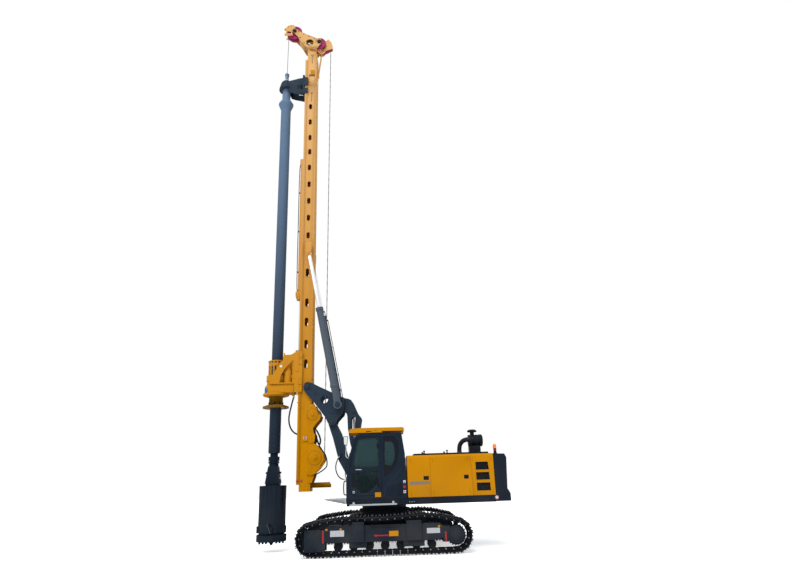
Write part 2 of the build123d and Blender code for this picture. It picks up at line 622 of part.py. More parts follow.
MAST_LINK_PLATE = ((2441, 4765), (2400, 4860), (2317, 4895), (2157, 4850), (1954, 4740), (1676, 4605),
                   (1391, 4462), (1158, 4362), (1170, 4140), (1205, 3915), (1400, 3700), (1430, 3620),
                   (1480, 3530), (1607, 3530), (1680, 3630), (1759, 3795), (2136, 4290), (2309, 4484),
                   (2423, 4632))
with BuildPart() as mast_link:
    both_sides(MAST_LINK_PLATE, 345, 415)
    both_bars((1785, 4335), 120, 340, 420, Mode.SUBTRACT)
    cross_bar(BOOM_HEAD, 60, -665, 665)
    cross_bar(LINK_HEAD, 50, -416, 416)
    both_bars(MAST_PIN, 60, 240, 440)
save(mast_link.part, "mast_link")


def ram_point(distance, y, foot, eye):
    """A point on a ram's axis, at a distance from its foot."""
    x, z = along(foot, eye, distance, 0)
    return (x, y, z)


LUFF_LENGTH = math.dist(LUFF_FOOT, LUFF_EYE)
LUFF_BARREL = 1560
with BuildPart() as luff_barrel:
    cross_bar(LUFF_FOOT, 80, -50, 50)
    rod(ram_point(40, 0, LUFF_FOOT, LUFF_EYE), ram_point(150, 0, LUFF_FOOT, LUFF_EYE), 48)
    rod(ram_point(130, 0, LUFF_FOOT, LUFF_EYE), ram_point(LUFF_BARREL, 0, LUFF_FOOT, LUFF_EYE), 88)
    cross_bar(LUFF_FOOT, 40 + PIN_GAP, -60, 60, Mode.SUBTRACT)
    rod(ram_point(180, 0, LUFF_FOOT, LUFF_EYE), ram_point(LUFF_BARREL + 10, 0, LUFF_FOOT, LUFF_EYE), 50,
        Mode.SUBTRACT)
save(luff_barrel.part, "luff_ram_barrel")

with BuildPart() as luff_rod:
    rod(ram_point(500, 0, LUFF_FOOT, LUFF_EYE), ram_point(LUFF_LENGTH, 0, LUFF_FOOT, LUFF_EYE), 45)
    cross_bar(LUFF_EYE, 75, -50, 50)
    cross_bar(LUFF_EYE, 40, -175, 175)
save(luff_rod.part, "luff_ram_rod")

RAM_LENGTH = math.dist(BOOM_HEAD, MAST_EYE)
RAM_BARREL = 3180
with BuildPart() as mast_barrels:
    for y in (-RAM_Y, RAM_Y):
        cross_bar(BOOM_HEAD, 130, y - 95, y + 95)
        rod(ram_point(80, y, BOOM_HEAD, MAST_EYE), ram_point(RAM_BARREL, y, BOOM_HEAD, MAST_EYE), 108)
        rod(ram_point(560, y, BOOM_HEAD, MAST_EYE), ram_point(640, y, BOOM_HEAD, MAST_EYE), 125)
        rod(ram_point(RAM_BARREL - 90, y, BOOM_HEAD, MAST_EYE),
            ram_point(RAM_BARREL, y, BOOM_HEAD, MAST_EYE), 122)
        cross_bar(BOOM_HEAD, 60 + PIN_GAP, y - 100, y + 100, Mode.SUBTRACT)
        rod(ram_point(200, y, BOOM_HEAD, MAST_EYE), ram_point(RAM_BARREL + 10, y, BOOM_HEAD, MAST_EYE), 75,
            Mode.SUBTRACT)
save(mast_barrels.part, "mast_ram_barrels")

with BuildPart() as mast_rods:
    for y in (-RAM_Y, RAM_Y):
        rod(ram_point(1900, y, BOOM_HEAD, MAST_EYE), ram_point(RAM_LENGTH, y, BOOM_HEAD, MAST_EYE), 62)
        cross_bar(MAST_EYE, 85, y - 45, y + 45)
save(mast_rods.part, "mast_ram_rods")

# ---------------------------------------------------------------- mast column
with BuildPart() as mast:
    block((MAST_REAR, MAST_FRONT), (-MAST_HALF, MAST_HALF), (MAST_BOTTOM, MAST_TOP))
    block((MAST_REAR + MAST_WALL, MAST_FRONT - MAST_WALL), (-MAST_HALF + MAST_WALL, MAST_HALF - MAST_WALL),
          (MAST_BOTTOM + MAST_WALL, MAST_TOP - MAST_WALL), Mode.SUBTRACT)
    both_blocks((MAST_FRONT - 5, RAIL_FRONT), (RAIL_IN, RAIL_OUT), (MAST_BOTTOM + 200, 17200))
    for heights, width, height in ((SLOT_HEIGHTS_UPPER, 110, 230), (SLOT_HEIGHTS_LOWER, 110, 290)):
        with BuildSketch(side_plane(MAST_HALF + 1)) as slots:
            with Locations(*((2400, z) for z in heights)):
                SlotOverall(height, width, rotation=90)
        extrude(slots.sketch, amount=2 * MAST_HALF + 2, mode=Mode.SUBTRACT)
    for centre, radius in ((MAIN_DRUM, 310), (AUX_DRUM, 245)):
        block((MAST_REAR - 1, MAST_REAR + MAST_WALL + 1), (-265, 265),
              (centre[1] - radius, centre[1] + radius), Mode.SUBTRACT)
    both_bars(MAST_PIN, 60 + PIN_GAP, MAST_HALF - MAST_WALL - 1, MAST_HALF + 1, Mode.SUBTRACT)
    block((1610, MAST_REAR + 5), (-110, 110), (1740, 1850))
    block((1640, MAST_REAR + 5), (-60, 60), (1848, 1890))
    for x, z, inner, outer in (((2210, 2470), (16040, 16520), 299, 345),
                               ((2260, 2420), (16519, 16730), 299, 332)):
        both_blocks(x, (inner, outer), z)
save(mast.part, "mast_column")

with BuildPart() as eye_brackets:
    for y in (-RAM_Y, RAM_Y):
        for inner, outer in ((y - 100, y - 72), (y + 72, y + 100)):
            plate(((2260, 9090), (2410, 9090), (2430, 9300), (2410, 9560), (2230, 9560), (2230, 9300)),
                  inner, outer)
    both_blocks((2230, 2410), (MAST_HALF + 1, RAM_Y + 100), (9420, 9560))
save(eye_brackets.part, "ram_brackets")

HEAD_OUTLINE = ((3490, 18680), (3490, 18712), (3300, 18900), (3107, 18914), (3037, 18724), (2861, 18587),
                (2338, 18297), (2207, 18262), (2058, 18251), (2055, 18013), (2120, 17930), (2200, 17790),
                (2224, 17768), (2653, 17882), (2898, 18308), (3120, 18565))
HEAD_HALF = 270
HEAD_HOLE = (2485, 18070)
# The plate on each side of the rear sheave, with the rope guard's horn at its top.
TAIL_PLATE = ((2640, 18250), (1873, 18245), (1805, 18362), (1765, 18345), (1666, 18210), (1611, 18010),
              (1611, 17918), (1880, 17818), (1923, 17727), (1990, 17670), (2100, 17670), (2210, 17800),
              (2640, 17890))
STRUT_TOP = (2045, 17700)
with BuildPart() as mast_head:
    both_sides(HEAD_OUTLINE, HEAD_HALF - 30, HEAD_HALF)
    both_sides(TAIL_PLATE, 60, 85)
    block((2260, 2560), (-180, 180), (MAST_TOP + 1, 17830))
    plate(((2224, 17768), (2653, 17882), (2648, 17904), (2220, 17790)), 5 - HEAD_HALF, HEAD_HALF - 5)
    plate(((2653, 17882), (2898, 18308), (2930, 18345), (2912, 18358), (2878, 18318), (2635, 17895)),
          5 - HEAD_HALF, HEAD_HALF - 5)
    plate(((2338, 18297), (2700, 18498), (2710, 18480), (2348, 18279)), -160, HEAD_HALF - 5)
    cross_bar(HEAD_HOLE, 150, -HEAD_HALF - 1, HEAD_HALF + 1, Mode.SUBTRACT)
    cross_bar(FRONT_SHEAVE, 50, -HEAD_HALF - 15, HEAD_HALF + 15)
    cross_bar(REAR_SHEAVE, 50, -100, 100)
    cross_bar(SIDE_SHEAVE, 45, 70, HEAD_HALF + 12)
    rod((3150, HEAD_HALF - 20, 18470), (3465, HEAD_HALF - 20, 18470), 45)
    for x in (3200, 3400):
        block((x - 20, x + 20), (HEAD_HALF - 30, HEAD_HALF), (18490, 18700))
    cross_bar(STRUT_TOP, 25, -86, 86)
    rod((2170, 0, 16690), (STRUT_TOP[0], 0, STRUT_TOP[1]), 30)
    block((2130, MAST_REAR - 1), (-45, 45), (16620, 16720))
save(mast_head.part, "mast_head")


def sheave(centre, radius, y, half, bore):
    """A rope sheave at Y = y: rim with a groove, thin web and thick hub."""
    wheel(centre, ((bore, y - half), (95, y - half), (95, y - 12), (radius - 62, y - 12),
                   (radius - 50, y - half), (radius, y - half), (radius - 30, y), (radius, y + half),
                   (radius - 50, y + half), (radius - 62, y + 12), (95, y + 12), (95, y + half),
                   (bore, y + half)))


with BuildPart() as front_sheaves:
    sheave(FRONT_SHEAVE, SHEAVE_RADIUS, 0, 42, 50 + PIN_GAP)
    sheave(FRONT_SHEAVE, SHEAVE_RADIUS, 165, 32, 50 + PIN_GAP)
    wheel(FRONT_SHEAVE, ((50 + PIN_GAP, 40), (80, 40), (80, 135), (50 + PIN_GAP, 135)))
save(front_sheaves.part, "front_sheaves")
with BuildPart() as rear_sheaves:
    sheave(REAR_SHEAVE, SHEAVE_RADIUS, 0, 42, 50 + PIN_GAP)
save(rear_sheaves.part, "rear_sheaves")
with BuildPart() as side_sheave:
    sheave(SIDE_SHEAVE, 240, 165, 32, 45 + PIN_GAP)
save(side_sheave.part, "side_sheave")

WINCH_PLATE = ((2280, 4211), (2098, 4211), (1955, 3901), (1893, 3869), (1922, 3748), (2074, 3571),
               (2134, 3483), (2117, 3363), (2070, 3272), (2083, 3094), (2113, 3036), (1974, 2943),
               (1820, 2733), (1788, 2528), (1907, 2358), (1937, 2302), (2085, 2163), (2084, 2077),
               (2160, 1883), (2280, 1883))
# Clamps of the pipes, as (x low, x high), (z low, z high).
PIPE_CLAMPS = (((2110, 2160), (3480, 3530)), ((1955, 1989), (2885, 2925)))
COVER_RADII = ((MAIN_DRUM, 208), (AUX_DRUM, 168))
with BuildPart() as winch_frame:
    both_sides(WINCH_PLATE, MAST_HALF + 1, MAST_HALF + 26)
    for centre, radius in COVER_RADII:
        both_bars(centre, 50, 265, MAST_HALF + 26)
        both_bars(centre, radius, MAST_HALF + 20, MAST_HALF + 33)
        both_bars(centre, 110, MAST_HALF + 20, MAST_HALF + 38)
    for x, z in PIPE_CLAMPS:
        block(x, (210, MAST_HALF + 5), z)
save(winch_frame.part, "winch_frame")

OUTER_PIPE_Y = 272
INNER_PIPE_Y = 232
PIPE_RADIUS = 17
with BuildPart() as winch_pipes:
    hose([(x, INNER_PIPE_Y, z) for x, z in ((2096, 3505), (2035, 3420), (1967, 3300), (1918, 3170),
                                            (1908, 3060), (1935, 2990), (1968, 2934))], PIPE_RADIUS)
    hose([(x, OUTER_PIPE_Y, z) for x, z in ((2135, 3472), (2085, 3350), (2020, 3160), (1960, 2990),
                                            (1860, 2830), (1745, 2680), (1700, 2500), (1702, 2340),
                                            (1810, 2240), (1990, 2140), (2189, 2020))], PIPE_RADIUS)
save(winch_pipes.part, "winch_pipes")


def drum_profile(radius, flange):
    """Half section of a winch drum, as (radius, y): bearings' room, flanges and barrel."""
    bore = 50 + PIN_GAP
    return ((bore, -240), (flange, -240), (flange, -220), (radius, -215), (radius, 215), (flange, 220),
            (flange, 240), (bore, 240))


for name, centre, flange in (("main_winch_drum", MAIN_DRUM, 290), ("aux_winch_drum", AUX_DRUM, 225)):
    with BuildPart() as drum:
        wheel(centre, drum_profile(flange - 40, flange))
        both_bars(centre, 100, 240, 262)
        both_bars(centre, 50 + PIN_GAP, 200, 263, Mode.SUBTRACT)
    save(drum.part, name)

with BuildPart() as crowd_barrel:
    post(CROWD_X, 0, CROWD_RADIUS, 7850, 12950)
    block((MAST_FRONT + 1, 2760), (-90, 90), (12800, 13040))
    turned(((0, 7700), (120, 7700), (165, 7850), (165, 7980), (0, 7980)), CROWD_X)
    post(CROWD_X, 0, 62, 7690, 12790, Mode.SUBTRACT)
    block((2400, MAST_FRONT + 1), (-200, 200), (7650, 8000), Mode.SUBTRACT)
save(crowd_barrel.part, "crowd_ram_barrel")

# ---------------------------------------------------------------- rotary head
CARRIAGE_PLATE = ((2495, 4590), (2745, 4590), (2745, 4864), (3525, 4864), (3515, 5017), (3465, 5100),
                  (3176, 5559), (3120, 5600), (3088, 5850), (3060, 5850), (3050, 5782), (2855, 5786),
                  (2771, 5840), (2645, 5910), (2612, 5900), (2495, 5860))
CARRIAGE_WINDOW = ((3207, 4905), (3163, 5133), (3053, 5321), (2808, 5600), (2765, 5590), (2765, 4905))
RAIL_SHOES = ((4600, 4800), (4830, 5030), (5460, 5650), (5680, 5880))
with BuildPart() as carriage:
    both_sides(CARRIAGE_PLATE, RAIL_OUT + 15, RAIL_OUT + 45)
    both_sides(CARRIAGE_WINDOW, RAIL_OUT + 14, RAIL_OUT + 46, Mode.SUBTRACT)
    for low, high in RAIL_SHOES:
        both_blocks((2497, 2615), (RAIL_OUT + 44, RAIL_OUT + 62), (low, high))
        both_blocks((2520, 2590), (RAIL_OUT + 54, RAIL_OUT + 63), (low + 30, high - 30), Mode.SUBTRACT)
    block((2770, 2815), (-RAIL_OUT - 16, RAIL_OUT + 16), (4865, 5780))
    both_blocks((2631, 2771), (170, RAIL_OUT + 16), (5080, 5380))
    block((CROWD_X - 60, 2771), (-60, 60), (5700, 5990))
save(carriage.part, "head_carriage")

GEARBOX_PLAN = ((2760, -330), (3500, -330), (3690, -200), (3690, 200), (3500, 330), (2760, 330))
with BuildPart() as gearbox:
    with BuildSketch(Plane.XY.offset(4600)) as plan:
        with BuildLine():
            Polyline(*GEARBOX_PLAN, close=True)
        make_face()
    extrude(plan.sketch, amount=260)
    plate(((3600, 4861), (3691, 4800), (3691, 4861)), -331, 331, Mode.SUBTRACT)
    turned(((0, 4510), (330, 4510), (345, 4540), (410, 4540), (410, 4600), (0, 4600)), KELLY_X)
    post(KELLY_X, 0, 250, 4400, 4900, Mode.SUBTRACT)
    block((2760, 2850), (60, 140), (4520, 4601))
save(gearbox.part, "gearbox_housing")

MOTOR_SIDE = ((0, 4862), (134, 4862), (134, 4930), (118, 4945), (118, 5290), (96, 5320), (96, 5430),
              (0, 5430))
with BuildPart() as motors:
    for y in (-205, 205):
        turned(MOTOR_SIDE, 2965, y)
        block((3030, 3105), (y - 40, y + 40), (5190, 5290))
save(motors.part, "drive_motors")

SPRING_COUNT = 14
with BuildPart() as damper:
    for inner, outer, low, high in ((205, 300, 4862, 4990), (205, 320, 4990, 5170), (205, 272, 5470, 5560),
                                    (205, 280, 5615, 5650)):
        turned(((inner, low), (outer, low), (outer, high), (inner, high)), KELLY_X)
    turned(((205, 5160), (222, 5160), (222, 5620), (205, 5620)), KELLY_X)
    with BuildSketch(Plane.XY.offset(5165)) as springs:
        with Locations((KELLY_X, 0)):
            with PolarLocations(240, SPRING_COUNT):
                Circle(34)
    extrude(springs.sketch, amount=455)
    post(KELLY_X, 0, 204, 4800, 5700, Mode.SUBTRACT)
save(damper.part, "kelly_damper")

with BuildPart() as crowd_rod:
    post(CROWD_X, 0, CROWD_ROD, 5992, 11050)
save(crowd_rod.part, "crowd_ram_rod")

SLEEVE_WINDOWS = 8
with BuildPart() as sleeve:
    turned(((SLEEVE_BORE, 4150), (407, 4150), (407, 4200), (235, 4262), (235, 4332), (218, 4336),
            (218, 4850), (SLEEVE_BORE, 4850)), KELLY_X)
    with Locations(Location((KELLY_X, 0, 4297))):
        with PolarLocations(212, SLEEVE_WINDOWS):
            Box(60, 90, 54, mode=Mode.SUBTRACT)
    with Locations(Location((KELLY_X, 0, 4150))):
        with PolarLocations(350, 12):
            Hole(14, 60)
save(sleeve.part, "drive_sleeve")

# Hose from the gearbox to the channel between the rails.
HEAD_HOSE = ((2777, 100, 4512), (2832, 102, 4300), (2886, 105, 4065), (2920, 108, 3862), (2915, 112, 3690),
             (2862, 120, 3520), (2770, 134, 3390), (2640, 156, 3318), (2566, 170, 3299))
HEAD_HOSE_RADIUS = 24
with BuildPart() as head_hose:
    bends = hose(HEAD_HOSE, HEAD_HOSE_RADIUS)
print("head_hose bends", [round(b) for b in bends])
save(head_hose.part, "head_hose")

# ---------------------------------------------------------------- kelly guide and kelly
GUIDE_WEB = ((2640, 15690), (3050, 15790), (3200, 15850), (3260, 16000), (3260, 16330), (2863, 16440),
             (2640, 16480), (2640, 16150), (2920, 16130), (2920, 15990), (2640, 15940))
GUIDE_SHOES = ((15690, 15900), (16020, 16360))
KELLY_NECK = 150
with BuildPart() as guide:
    both_blocks((2632, 2700), (180, RAIL_OUT + 40), (15680, 16480))
    for low, high in GUIDE_SHOES:
        both_blocks((2500, 2640), (RAIL_OUT + 10, RAIL_OUT + 55), (low, high))
    both_sides(GUIDE_WEB, 180, 220)
    block((2778, 2818), (-181, 181), (16180, 16420))
    turned(((KELLY_NECK + 9, 16050), (273, 16050), (273, 16110), (215, 16340), (185, 16400),
            (KELLY_NECK + 9, 16400)), KELLY_X)
save(guide.part, "kelly_guide")

with BuildPart() as kelly:
    turned(((KELLY_BORE, KELLY_BOTTOM - 100), (165, KELLY_BOTTOM - 100), (KELLY_RADIUS, KELLY_BOTTOM - 60),
            (KELLY_RADIUS, 15170), (273, 15400), (273, 15430), (160, 15620), (KELLY_NECK, 15660),
            (KELLY_NECK, 16430), (90, 16500), (62, 16510), (62, 16690), (80, 16710), (80, 16800),
            (0, 16830), (0, 16500), (KELLY_BORE, 16400)), KELLY_X)
save(kelly.part, "kelly_tube")

# Rings below the tube, as (z low, z high, radius).
STUB_RINGS = ((2330, KELLY_BOTTOM - 101, 118), (2560, 2680, 167), (2480, 2548, 163), (2330, 2470, 143))
with BuildPart() as drive_stub:
    for low, high, radius in STUB_RINGS:
        post(KELLY_X, 0, radius, low, high)
    for height, side in ((2400, 290), (1900, 430)):
        with BuildSketch(Plane.XY.offset(height)):
            with Locations((KELLY_X, 0)):
                Rectangle(side, side)
    loft()
    for angle in (0, 90, 180, 270):
        with Locations(Location((KELLY_X, 0, 2030), (0, 0, angle))):
            with Locations((215, 0, 0)):
                Box(60, 200, 190, mode=Mode.SUBTRACT)
    rod((KELLY_X - 235, 0, 2210), (KELLY_X + 235, 0, 2210), 28)
    block((KELLY_X - 130, KELLY_X + 130), (-130, 130), (1845, 1905))
save(drive_stub.part, "kelly_stub")

WEAR_BLOCKS = 5
# Teeth along each arm of the bottom, as distances from the middle.
TEETH = (150, 245, 340)
with BuildPart() as bucket:
    turned(((0, 440), (380, 440), (380, 530), (405, 530), (405, 715), (400, 722), (400, 1840), (0, 1840),
            (0, 1810), (370, 1810), (370, 722), (340, 480), (0, 480)), KELLY_X)
    turned(((0, 285), (428, 285), (440, 300), (440, 470), (380, 480), (0, 480)), KELLY_X)
    with Locations(Location((KELLY_X, 0, 622))):
        with PolarLocations(410, WEAR_BLOCKS, start_angle=20):
            Box(60, 150, 185)
    block((KELLY_X - 50, KELLY_X + 45), (385, 432), (545, 770))
    for reach in TEETH:
        with Locations(Location((KELLY_X, 0, 262))):
            with PolarLocations(reach, 4, start_angle=12):
                with Locations(Location((0, 0, 0), (38, 0, 0))):
                    Box(64, 30, 96)
    turned(((0, 168), (18, 172), (95, 290), (0, 290)), KELLY_X)
save(bucket.part, "drilling_bucket")
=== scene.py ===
"""Looks of a crawler rotary piling rig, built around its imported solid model.

Lengths are in metres, in the frame of the solid model: +X towards the drilling
tool, +Y to the operator's left, +Z up, the origin on the ground on the slewing axis.
"""
import json
import logging
import math
from collections.abc import Callable
from dataclasses import dataclass
from enum import Enum
from typing import ClassVar

import bmesh
import bpy
import numpy as np
from mathutils import Matrix


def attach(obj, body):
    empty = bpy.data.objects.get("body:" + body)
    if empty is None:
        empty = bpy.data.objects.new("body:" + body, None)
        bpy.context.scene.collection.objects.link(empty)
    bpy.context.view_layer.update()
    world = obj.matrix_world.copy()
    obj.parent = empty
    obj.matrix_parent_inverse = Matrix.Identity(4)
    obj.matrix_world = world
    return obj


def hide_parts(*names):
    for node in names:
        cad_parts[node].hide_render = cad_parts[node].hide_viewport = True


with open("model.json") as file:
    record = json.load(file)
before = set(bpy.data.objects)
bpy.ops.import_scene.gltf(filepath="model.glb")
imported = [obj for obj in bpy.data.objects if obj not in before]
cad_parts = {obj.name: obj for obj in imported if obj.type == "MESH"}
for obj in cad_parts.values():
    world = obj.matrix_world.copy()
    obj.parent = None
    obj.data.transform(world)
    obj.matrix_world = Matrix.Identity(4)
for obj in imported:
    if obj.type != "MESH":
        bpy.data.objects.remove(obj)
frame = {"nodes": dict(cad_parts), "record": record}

Point = tuple[float, float, float]
Colour = tuple[float, float, float]
log = logging.getLogger("rig")


# ---- shader maths
class Value:
    """A shader socket that can stand in a Python expression."""

    def __init__(self, graph: "Graph", socket: bpy.types.NodeSocket) -> None:
        """Keep the socket and the graph that it belongs to."""
        self.graph = graph
        self.socket = socket

    @staticmethod
    def operator(operation: str, swapped: bool = False) -> Callable[["Value", object], "Value"]:
        """One of Python's operators as a Math node; swapped puts the other value first."""
        def joined(self: "Value", other: object) -> "Value":
            """The result of the Math node."""
            first, second = (other, self) if swapped else (self, other)
            return self.graph.node("ShaderNodeMath", {"operation": operation}, {0: first, 1: second})
        return joined

    __add__, __radd__ = operator("ADD"), operator("ADD", True)
    __sub__, __rsub__ = operator("SUBTRACT"), operator("SUBTRACT", True)
    __mul__, __rmul__ = operator("MULTIPLY"), operator("MULTIPLY", True)
    __truediv__, __gt__ = operator("DIVIDE"), operator("GREATER_THAN")

    def ramp(self, low: float, high: float) -> "Value":
        """0 below low, 1 above high and smooth between them."""
        return self.graph.node("ShaderNodeMapRange", {"interpolation_type": "SMOOTHSTEP"},
            {0: self, 1: low, 2: high, 3: 0.0, 4: 1.0})

    def clamp(self) -> "Value":
        """This value kept between 0 and 1."""
        return self.graph.node("ShaderNodeClamp", {}, {0: self})


class Graph:
    """A material's node tree round one Principled shader."""

    def __init__(self, name: str) -> None:
        """Make the material and its shader and output nodes."""
        self.material = bpy.data.materials.new(f"dressed_{name}")
        self.material.use_nodes = True
        self.nodes = self.material.node_tree.nodes
        self.links = self.material.node_tree.links
        self.shader = self.nodes["Principled BSDF"]

    def node(self, kind: str, settings: dict[str, object], inputs: dict[object, object],
            out: object = 0) -> Value:
        """Add any node.

        Args:
            kind: The node's type.
            settings: Attributes set before its sockets are used.
            inputs: Values or links by socket name or number.
            out: The output socket's name or number.

        Returns:
            The chosen output.
        """
        made = self.nodes.new(kind)
        for key, value in settings.items():
            setattr(made, key, value)
        for key, value in inputs.items():
            self.put(made.inputs[key], value)
        return Value(self, made.outputs[out])

    def put(self, socket: bpy.types.NodeSocket, value: object) -> None:
        """Link a value to a socket, or set the socket's own number or colour."""
        if isinstance(value, Value):
            self.links.new(value.socket, socket)
        elif isinstance(value, tuple) and socket.type == "RGBA":
            socket.default_value = (*value[:3], 1.0)
        else:
            socket.default_value = value

    def set(self, name: str, value: object) -> None:
        """Feed one of the shader's sockets."""
        self.put(self.shader.inputs[name], value)

    def place(self) -> Value:
        """The object's own coordinates."""
        return self.node("ShaderNodeTexCoord", {}, {}, "Object")

    def axis(self, name: str) -> Value:
        """One component, X, Y or Z, of the object's coordinates."""
        return self.node("ShaderNodeSeparateXYZ", {}, {0: self.place()}, name)

    def noise(self, scale: float, detail: float = 3.0, stretch: Point = (1.0, 1.0, 1.0)) -> Value:
        """Cloudy noise.

        Args:
            scale: Cells per metre.
            detail: Octaves.
            stretch: Scale along each axis.

        Returns:
            A value around 0.5.
        """
        spot = self.node("ShaderNodeMapping", {}, {"Vector": self.place(), "Scale": stretch})
        return self.node("ShaderNodeTexNoise", {}, {"Vector": spot, "Scale": scale, "Detail": detail}, "Fac")

    def attribute(self, name: str) -> Value:
        """A number kept on the mesh."""
        return self.node("ShaderNodeAttribute", {"attribute_name": name}, {}, "Fac")

    def mix(self, share: object, low: object, high: object) -> Value:
        """Blend two colours by a share from 0 to 1."""
        return self.node("ShaderNodeMix", {"data_type": "RGBA"}, {0: share, 6: low, 7: high}, 2)

    def facing_up(self) -> Value:
        """The surface normal's Z component."""
        normal = self.node("ShaderNodeNewGeometry", {}, {}, "Normal")
        return self.node("ShaderNodeSeparateXYZ", {}, {0: normal}, "Z")

    def bump(self, height: Value, depth: float, strength: float = 1.0) -> None:
        """Bend the normal by a height in metres."""
        bent = self.node("ShaderNodeBump", {}, {"Height": height, "Distance": depth, "Strength": strength})
        self.set("Normal", bent)


def placed(name: str, data: bpy.types.ID) -> bpy.types.Object:
    """A new object in the scene's collection."""
    made = bpy.data.objects.new(name, data)
    bpy.context.scene.collection.objects.link(made)
    return made


def scaled(colour: Colour, factor: float) -> Colour:
    """A colour made lighter or darker."""
    return (colour[0] * factor, colour[1] * factor, colour[2] * factor)


@dataclass(frozen=True)
class Look:
    """What all finishes share: a name, the name of a slot of the solid model, and one node material."""

    name: str
    slot: str

    def dress(self, g: "Graph") -> None:
        """Feed the shader of its material; each kind of finish does this in its own way."""
        raise NotImplementedError

    def material(self) -> bpy.types.Material:
        """The finish's material, made on its first use."""
        made = bpy.data.materials.get(f"dressed_{self.name}")
        if made is None:
            graph = Graph(self.name)
            self.dress(graph)
            made = graph.material
        return made


@dataclass(frozen=True)
class Paint(Look):
    """Sprayed machine paint with dust low down, rain marks and rubbed patches, and, where an upper colour is
    given, a painted highlight and haze that lightens it higher up.
    """

    colour: Colour
    # upper: the colour higher up, a painted highlight and haze rather than a second paint
    upper: Colour | None = None
    painted_light_from: float = 2.0
    painted_light_to: float = 17.0
    rough: float = 0.5
    coat: float = 0.0
    shine: float = 0.15
    dust: float = 0.12
    wear: float = 0.2

    def dress(self, g: Graph) -> None:
        """Feed the shader of its material."""
        cloud = g.noise(1.3, 5.0)
        fine = g.noise(46.0, 3.0)
        streak = g.noise(3.0, 3.0, (6.0, 6.0, 0.35))
        base: object = self.colour
        if self.upper is not None:
            # painted highlight and haze: the colour moves towards the upper colour with height
            base = g.mix(g.axis("Z").ramp(self.painted_light_from, self.painted_light_to), self.colour, self.upper)
        shade = g.mix((cloud - 0.35) * 0.9, base, scaled(self.colour, 0.86) if self.upper is None else base)
        grime = g.mix((streak.ramp(0.56, 0.78)) * (0.35 * self.wear + 0.1), shade, scaled(self.colour, 0.55))
        low = 1.0 - g.axis("Z").ramp(0.1, 2.6)
        settled = g.facing_up().ramp(0.55, 1.0) * 0.35
        dusty = ((low * 0.6 + settled) * cloud.ramp(0.3, 0.7) * self.dust).clamp()
        g.set("Base Color", g.mix(dusty, grime, (0.3, 0.26, 0.21)))
        g.set("Roughness", (self.rough + (fine - 0.5) * 0.12 + dusty * 0.5).clamp())
        g.set("Coat Weight", self.coat)
        g.set("Coat Roughness", 0.18)
        g.set("Specular IOR Level", self.shine)
        g.bump(fine * 0.35 + cloud, 0.0012, 0.6)


@dataclass(frozen=True)
class Steel(Look):
    """Bare or blackened steel with brushed streaks and rub marks."""

    colour: Colour
    metal: float = 1.0
    rough: float = 0.3
    grain: Point = (30.0, 30.0, 1.0)
    stain: float = 0.3
    soil: float = 0.0
    shine: float = 0.5

    def dress(self, g: Graph) -> None:
        """Feed the shader of its material."""
        lines = g.noise(8.0, 4.0, self.grain)
        blotch = g.noise(2.2, 5.0)
        worn = g.attribute("wear").ramp(0.55, 0.95) * (lines * 0.5 + 0.6).clamp()
        dull = g.mix(blotch.ramp(0.48, 0.72) * self.stain, self.colour, scaled(self.colour, 0.45))
        soil = (blotch.ramp(0.45, 0.7) * self.soil).clamp()
        g.set("Base Color", g.mix(worn, g.mix(soil, dull, (0.16, 0.125, 0.09)), (0.56, 0.57, 0.6)))
        g.set("Metallic", (self.metal + worn * (1.0 - self.metal)) * (1.0 - soil * 0.8))
        g.set("Roughness", (self.rough + (lines - 0.5) * 0.25 + (blotch - 0.5) * 0.15 + soil * 0.3).clamp())
        g.set("Specular IOR Level", self.shine)
        g.bump(lines, 0.0006, 0.5)


@dataclass(frozen=True)
class Chrome(Look):
    """Hard-chromed ram rod with faint draw lines and an oil film."""

    def dress(self, g: Graph) -> None:
        """Feed the shader of its material."""
        film = g.noise(2.0, 4.0, (3.0, 3.0, 0.5))
        g.set("Base Color", g.mix(film.ramp(0.5, 0.8) * 0.5, (0.86, 0.87, 0.88), (0.62, 0.63, 0.62)))
        g.set("Metallic", 0.85)
        g.set("Roughness", film * 0.16 + 0.06)
        g.bump(g.noise(90.0, 2.0), 0.0002, 0.3)


@dataclass(frozen=True)
class Glass(Look):
    """Tinted cab glass, lighter higher up as a painted sky reflection, with a little dust at its edges."""

    colour: Colour
    # upper: the tint higher up, lighter as a painted reflection of the sky
    upper: Colour
    alpha: float = 0.45
    far_alpha: float = 0.9

    def dress(self, g: Graph) -> None:
        """Feed the shader of its material."""
        film = g.noise(3.0, 4.0)
        # painted reflection: the tint lightens with height as if it reflected the sky
        tint_and_painted_sky = g.mix(g.axis("Z").ramp(1.9, 2.5), self.colour, self.upper)
        g.set("Base Color", g.mix(film.ramp(0.5, 0.8) * 0.06, tint_and_painted_sky, (0.2, 0.22, 0.2)))
        g.set("Roughness", film * 0.06 + 0.02)
        g.set("Alpha", self.far_alpha + g.axis("Y").ramp(1.3, 1.4) * (self.alpha - self.far_alpha))
        g.set("Specular IOR Level", 0.1)
        g.set("IOR", 1.5)


@dataclass(frozen=True)
class Soft(Look):
    """Rubber, plastic or woven cloth: a dull surface with a fine relief."""

    colour: Colour
    rough: float = 0.7
    grain: float = 260.0
    depth: float = 0.0005
    sheen: float = 0.0

    def dress(self, g: Graph) -> None:
        """Feed the shader of its material."""
        grain = g.noise(self.grain, 2.0)
        cloud = g.noise(3.5, 4.0)
        g.set("Base Color", g.mix(cloud.ramp(0.4, 0.75) * 0.5, self.colour, scaled(self.colour, 1.7)))
        g.set("Roughness", (self.rough + (cloud - 0.5) * 0.2).clamp())
        g.set("Sheen Weight", self.sheen)
        g.set("Specular IOR Level", 0.15)
        g.bump(grain, self.depth, 0.6)


